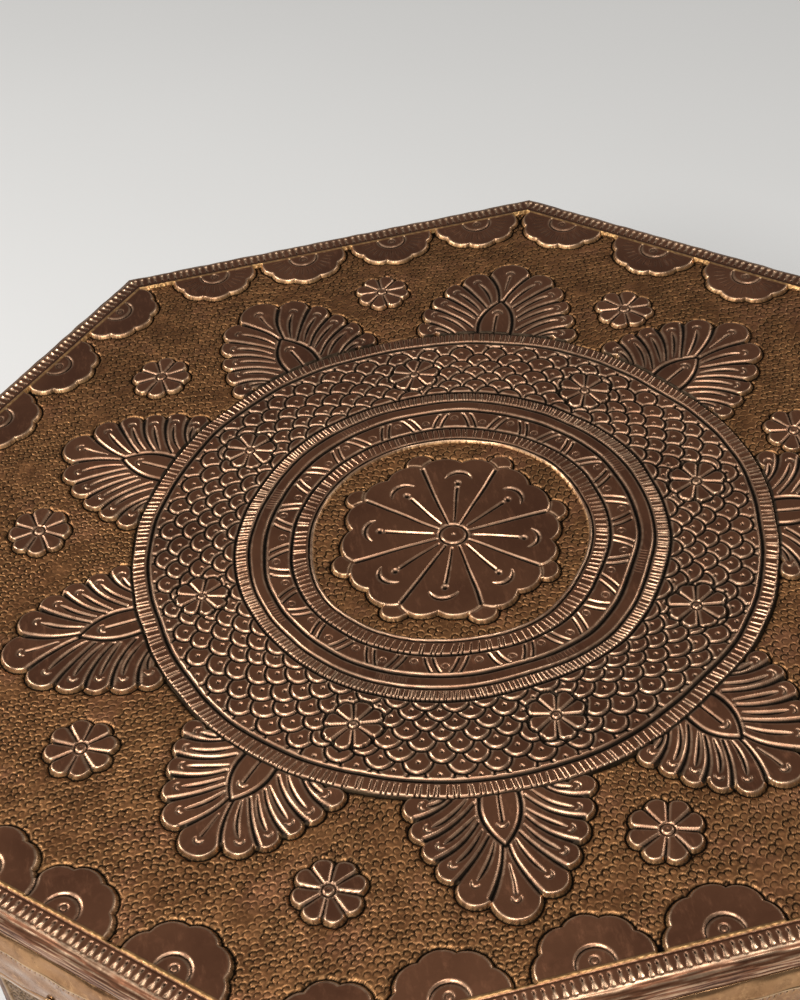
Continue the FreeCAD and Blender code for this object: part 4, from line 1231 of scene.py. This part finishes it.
LEG_WIDTHS = {"long": 27.0, "short": 24.0}
ARCH_SPRING = 34.0
ARCH_RISE = 48.0
FOIL_SHARES = ((0.70, 0.0, 0.30), (0.36, 0.385, 0.30))
CROWN_UP_SHARE, CROWN_SIZE_SHARE = 0.64, 0.28
FILL_ACROSS_SHARE, FILL_UP_SHARE = 0.60, 0.32
CLAD_GROUND = 0.45
CLAD_PUNCH_DEPTH = 0.38
# Widths of the plain frame at the mitres, the top, the foot and the arch
SIDE_FRAME, UPPER_FRAME, FOOT_FRAME, ARCH_FRAME = 3.6, 6.0, 3.4, 1.6
FRAME_LINE_INSET = 1.6
BEAD_PITCH, BEAD_INSET, BEAD_RADIUS = 3.3, 3.4, 1.5
CLAD_STEP, CLAD_ROWS = 0.78, 140
CLAD_EDGE_TURN = 0.7
SIDE_PALMETTE_LENGTH = 44.0
SIDE_PALMETTE_SCALES = {"long": 0.9, "short": 0.78}
SIDE_PALMETTE_SHARE = 0.60
# Leaves on the legs: height of the foot above the sheet's lower edge, and length
LEAVES = ((25.36, 20.0), (7.68, 19.0))
LEAF_HALF_WIDTH = 4.6
LEG_FLOWER_Z, LEG_FLOWER_RADIUS = 53.5, 8.4
SIDE_WAVE = Drift(41, 45.0)


class Arch:
    """The cusped opening of a side."""

    def __init__(self, side):
        self.half = side.half_at(side.reach - PANEL_INSET) - LEG_WIDTHS[side.name]
        self.crown = self.half * CROWN_SIZE_SHARE
        self.crown_z = ARCH_SPRING + ARCH_RISE * CROWN_UP_SHARE
        self.point = self.crown * math.sqrt(2)
        self.discs = [(0.0, self.crown_z, self.crown)]
        for across, up, size in FOIL_SHARES:
            self.discs.append((self.half * across, ARCH_SPRING + ARCH_RISE * up, self.half * size))
        fill = (self.half * FILL_ACROSS_SHARE, ARCH_SPRING + ARCH_RISE * FILL_UP_SHARE)
        self.blocks = ((self.half, ARCH_SPRING), fill, (self.crown, self.crown_z))

    def inside(self, x, z):
        """Distance inside the opening, negative on the sheet round it."""
        x = np.abs(x)
        blocks = (np.minimum(half - x, top - z) for half, top in self.blocks)
        rounds = (radius - np.hypot(x - cx, z - cz) for cx, cz, radius in self.discs)
        diamond = (self.point - x - np.abs(z - self.crown_z)) / math.sqrt(2)
        return largest(*blocks, *rounds, diamond)

    def top(self, x):
        """Height of the opening's edge at each place across."""
        x = np.abs(x)
        height = np.full(x.shape, ARCH_SPRING)
        for cx, cz, radius in self.discs:
            drop = radius**2 - (x - cx) ** 2
            height = np.maximum(height, np.where(drop > 0, cz + np.sqrt(np.maximum(drop, 0.0)), 0.0))
        return np.maximum(height, np.where(x < self.point, self.crown_z + self.point - x, 0.0))

    def outline(self, outer, step):
        """Points along the lower edge of the sheet from one mitre to the other, evenly spaced."""
        x = np.linspace(-self.half, self.half, 6001)
        xs = np.concatenate([[-outer, -self.half], x, [self.half, outer]])
        zs = np.concatenate([[CLAD_BOTTOM, CLAD_BOTTOM], self.top(x), [CLAD_BOTTOM, CLAD_BOTTOM]])
        length = np.concatenate([[0.0], np.cumsum(np.hypot(np.diff(xs), np.diff(zs)))])
        even = np.linspace(0.0, length[-1], int(length[-1] / step) + 1)
        return np.interp(even, length, xs), np.interp(even, length, zs)

    def away(self, x, z):
        """Direction out of the opening, onto the sheet, at a point of its edge."""
        step = 0.3
        xs, zs = np.array([x - step, x + step, x, x]), np.array([z, z, z - step, z + step])
        left, right, below, above = self.inside(xs, zs)
        size = max(math.hypot(left - right, below - above), 1e-6)
        return (left - right) / size, (below - above) / size


def leaf(x, u, length, width):
    """A pointed upright leaf with a chased vein. U is the height above its foot."""
    t = np.clip(u / length, 0.0, 1.0)
    beside = (width * np.sin(math.pi * t**0.75) - np.abs(x)) * 0.8
    past = np.maximum(np.maximum(-u, u - length), 0.0)
    inside = np.where((u < 0) | (u > length), -np.hypot(past, x), beside)
    vein = stroke(x, u, [(0.0, length * 0.15), (0.0, length * 0.7)], [0.45, 0.8], 0.3)
    return pillow(inside), np.maximum(vein, foot(inside, 0.2))


def lay_beads(field, arch, x, z, outer):
    """A row of round beads along the arch."""
    for bx, bz in zip(*arch.outline(outer, BEAD_PITCH)):
        if abs(bx) <= arch.half + 0.5:
            ax, az = arch.away(bx, bz)
            index = np.flatnonzero(np.hypot(x - bx, z - bz) < 7.0)
            distance = np.hypot(x[index] - bx - BEAD_INSET * ax, z[index] - bz - BEAD_INSET * az)
            dome = np.sqrt(np.maximum(1 - (distance / BEAD_RADIUS) ** 2, 0.0))
            field.raised[index] = np.maximum(field.raised[index], dome)


def side_relief(side, arch, x, z, outer, rng):
    """Relief of a side's sheet: frame lines, a beaded arch, hanging palmettes, flowers and leaves."""
    edge = -arch.inside(x, z)
    beside, over, under = outer - np.abs(x), CLAD_TOP - z, z - CLAD_BOTTOM
    frame_in = largest(SIDE_FRAME - beside, UPPER_FRAME - over, FOOT_FRAME - under)
    raised = smooth(-0.4, 0.4, np.maximum(frame_in, ARCH_FRAME - edge))
    field = Field(raised, 0.3 * dip(frame_in - FRAME_LINE_INSET, 0.7))
    lay_beads(field, arch, x, z, outer)
    hang_z = CLAD_TOP - UPPER_FRAME
    scale = SIDE_PALMETTE_SCALES[side.name]
    keep = smooth(1.0, 2.4, edge)
    for sign in (-1, 1):
        u = (hang_z + 0.5 - z) / scale
        v = (x - sign * outer * SIDE_PALMETTE_SHARE) / scale
        near = (np.abs(v) < PALMETTE_SPAN) & (u > -2.0) & (u < 50.0)
        field.lay(near, palmette, u, v, SIDE_PALMETTE_LENGTH, rng, fade=keep, depth=0.7)
        leg_x = x - sign * (outer + arch.half) / 2
        near = (np.abs(leg_x) < 9.0) & (z < 72.0)
        for lift, length in LEAVES:
            field.lay(near, leaf, leg_x, z - CLAD_BOTTOM - lift, length, LEAF_HALF_WIDTH)
        near = np.hypot(leg_x, z - LEG_FLOWER_Z) < 12.0
        field.lay(near, small_flower, leg_x, z - LEG_FLOWER_Z, LEG_FLOWER_RADIUS, 10.0)
    near = (np.abs(x) < HALF_ROSETTE_SPAN) & (z > hang_z - 20.0)
    field.lay(near, half_rosette, x, hang_z - z, False, rng)
    ground = 1.0 - field.raised
    punched = ground_punches(x + 300.0, z + 40.0, CLAD_PUNCH_DEPTH)
    down = ground * CLAD_GROUND + ground**2 * punched + 0.6 * np.minimum(field.cut, 0.6) - 0.25
    # Dark lines in the cuts and punches: patina and painted shade.
    line = np.maximum(smooth(0.34, 0.58, field.cut), 0.8 * ground * smooth(0.08, 0.24, punched))
    return down - 0.10 * SIDE_WAVE(x, z), ground, line


def side_sheets():
    """Eight embossed sheets, each a ruled grid between its arched lower edge and its straight top."""
    for side, number, degrees in all_sides():
        arch = Arch(side)
        face = side.reach - PANEL_INSET + SHEET_THICK
        outer = side.half_at(face)
        low_x, low_z = arch.outline(outer, CLAD_STEP)
        high_x = 0.55 * np.linspace(-outer, outer, len(low_x)) + 0.45 * low_x
        low_x, low_z, high_x = (with_ghosts(values)[:, None] for values in (low_x, low_z, high_x))
        rows = with_ghosts(np.linspace(0.0, 1.0, CLAD_ROWS))[None, :]
        x = high_x + (low_x - high_x) * rows
        z = CLAD_TOP + (low_z - CLAD_TOP) * rows
        rng = np.random.default_rng(200 + number + int(degrees))
        layers = side_relief(side, arch, x.ravel(), z.ravel(), outer, rng)
        down, ground, line = (values.reshape(x.shape) for values in layers)
        turned_in = smooth(0.9, -0.1, -arch.inside(x, z)) * CLAD_EDGE_TURN
        px, py = turned(x, face - down - turned_in, degrees)
        name, node = (f"{kind}_{side.name}_{number}" for kind in ("side_cladding", "panel_sheet"))
        points = np.stack([px, py, z], -1)
        grid_mesh(name, points, down, ground, line, np.zeros(x.shape), "brass_side", node)


# Floor, lights and camera. The floor and the lamps are in metres, the camera's place in millimetres.

FLOOR_HALF = 4.0
WORLD_LEVEL = 0.24
# Lamps: name, place, width and power in watts
LAMPS = (
    ("key", (-0.60, -0.75, 1.10), 0.40, 14.0),
    ("overhead", (0.10, -0.45, 1.45), 0.35, 4.5),
    ("left", (-1.25, 0.45, 0.90), 0.42, 14.0),
    ("right", (1.30, 0.30, 0.80), 0.42, 3.5),
)
CAMERA_LENS = 63.74
CAMERA_ELEVATION = 43.65
CAMERA_ROLL = -6.39
CAMERA_AZIMUTH = -8.47
# Where the medallion's centre lies from the camera: to the right, up and away
CAMERA_TO_CENTRE = (18.94, -12.47, 655.5)


def floor():
    """A plain pale floor."""
    mesh = bpy.data.meshes.new("floor")
    low, high = -FLOOR_HALF, FLOOR_HALF
    mesh.from_pydata([(low, low, 0), (high, low, 0), (high, high, 0), (low, high, 0)], [], [(0, 1, 2, 3)])
    piece = add_object("floor", mesh)
    s = Shader("floor_paint")
    mesh.materials.append(s.finish(s.mix(s.noise(3.0, 2.0), (0.66, 0.65, 0.63), (0.70, 0.69, 0.67)), 0.9))


def lamp(name, place, size, power):
    """A square softbox that faces the middle of the table's top."""
    data = bpy.data.lights.new(name, "AREA")
    data.size = size
    data.energy = power
    piece = add_object(name, data)
    x, y, z = place
    dz = z - TOP * MM
    piece.location = place
    piece.rotation_euler = (math.acos(dz / math.sqrt(x * x + y * y + dz * dz)), 0.0, math.atan2(x, -y))


def lights():
    """An even white surround and four softboxes."""
    world = bpy.data.worlds.new("studio")
    bpy.context.scene.world = world
    world.use_nodes = True
    background = world.node_tree.nodes["Background"].inputs
    background["Color"].default_value = (1.0, 1.0, 1.0, 1.0)
    background["Strength"].default_value = WORLD_LEVEL
    for row in LAMPS:
        lamp(*row)


def rotation(degrees, axis):
    """A turn about X or Z as a matrix."""
    c, s = math.cos(math.radians(degrees)), math.sin(math.radians(degrees))
    rows = {"X": ((1, 0, 0), (0, c, -s), (0, s, c)), "Z": ((c, -s, 0), (s, c, 0), (0, 0, 1))}
    return np.array(rows[axis])


def camera():
    """The photograph's view of the medallion."""
    axes = rotation(CAMERA_AZIMUTH, "Z") @ rotation(90.0 - CAMERA_ELEVATION, "X") @ rotation(CAMERA_ROLL, "Z")
    right, above, away = CAMERA_TO_CENTRE
    place = np.array([MEDALLION_X, MEDALLION_Y, TOP]) + axes @ (-right, -above, away)
    data = bpy.data.cameras.new("camera")
    data.lens = CAMERA_LENS
    piece = add_object("camera", data)
    matrix = np.eye(4)
    matrix[:3, :3], matrix[:3, 3] = axes, place * MM
    piece.matrix_world = Matrix(matrix.tolist())
    bpy.context.scene.camera = piece


for ring in RINGS:
    ring_sheets(*ring)
outer_sheets()
border_sheets()
edge_sheets()
side_sheets()
dress_wood_and_fittings()
floor()
lights()
camera()
bpy.context.scene.view_settings.view_transform = "Standard"
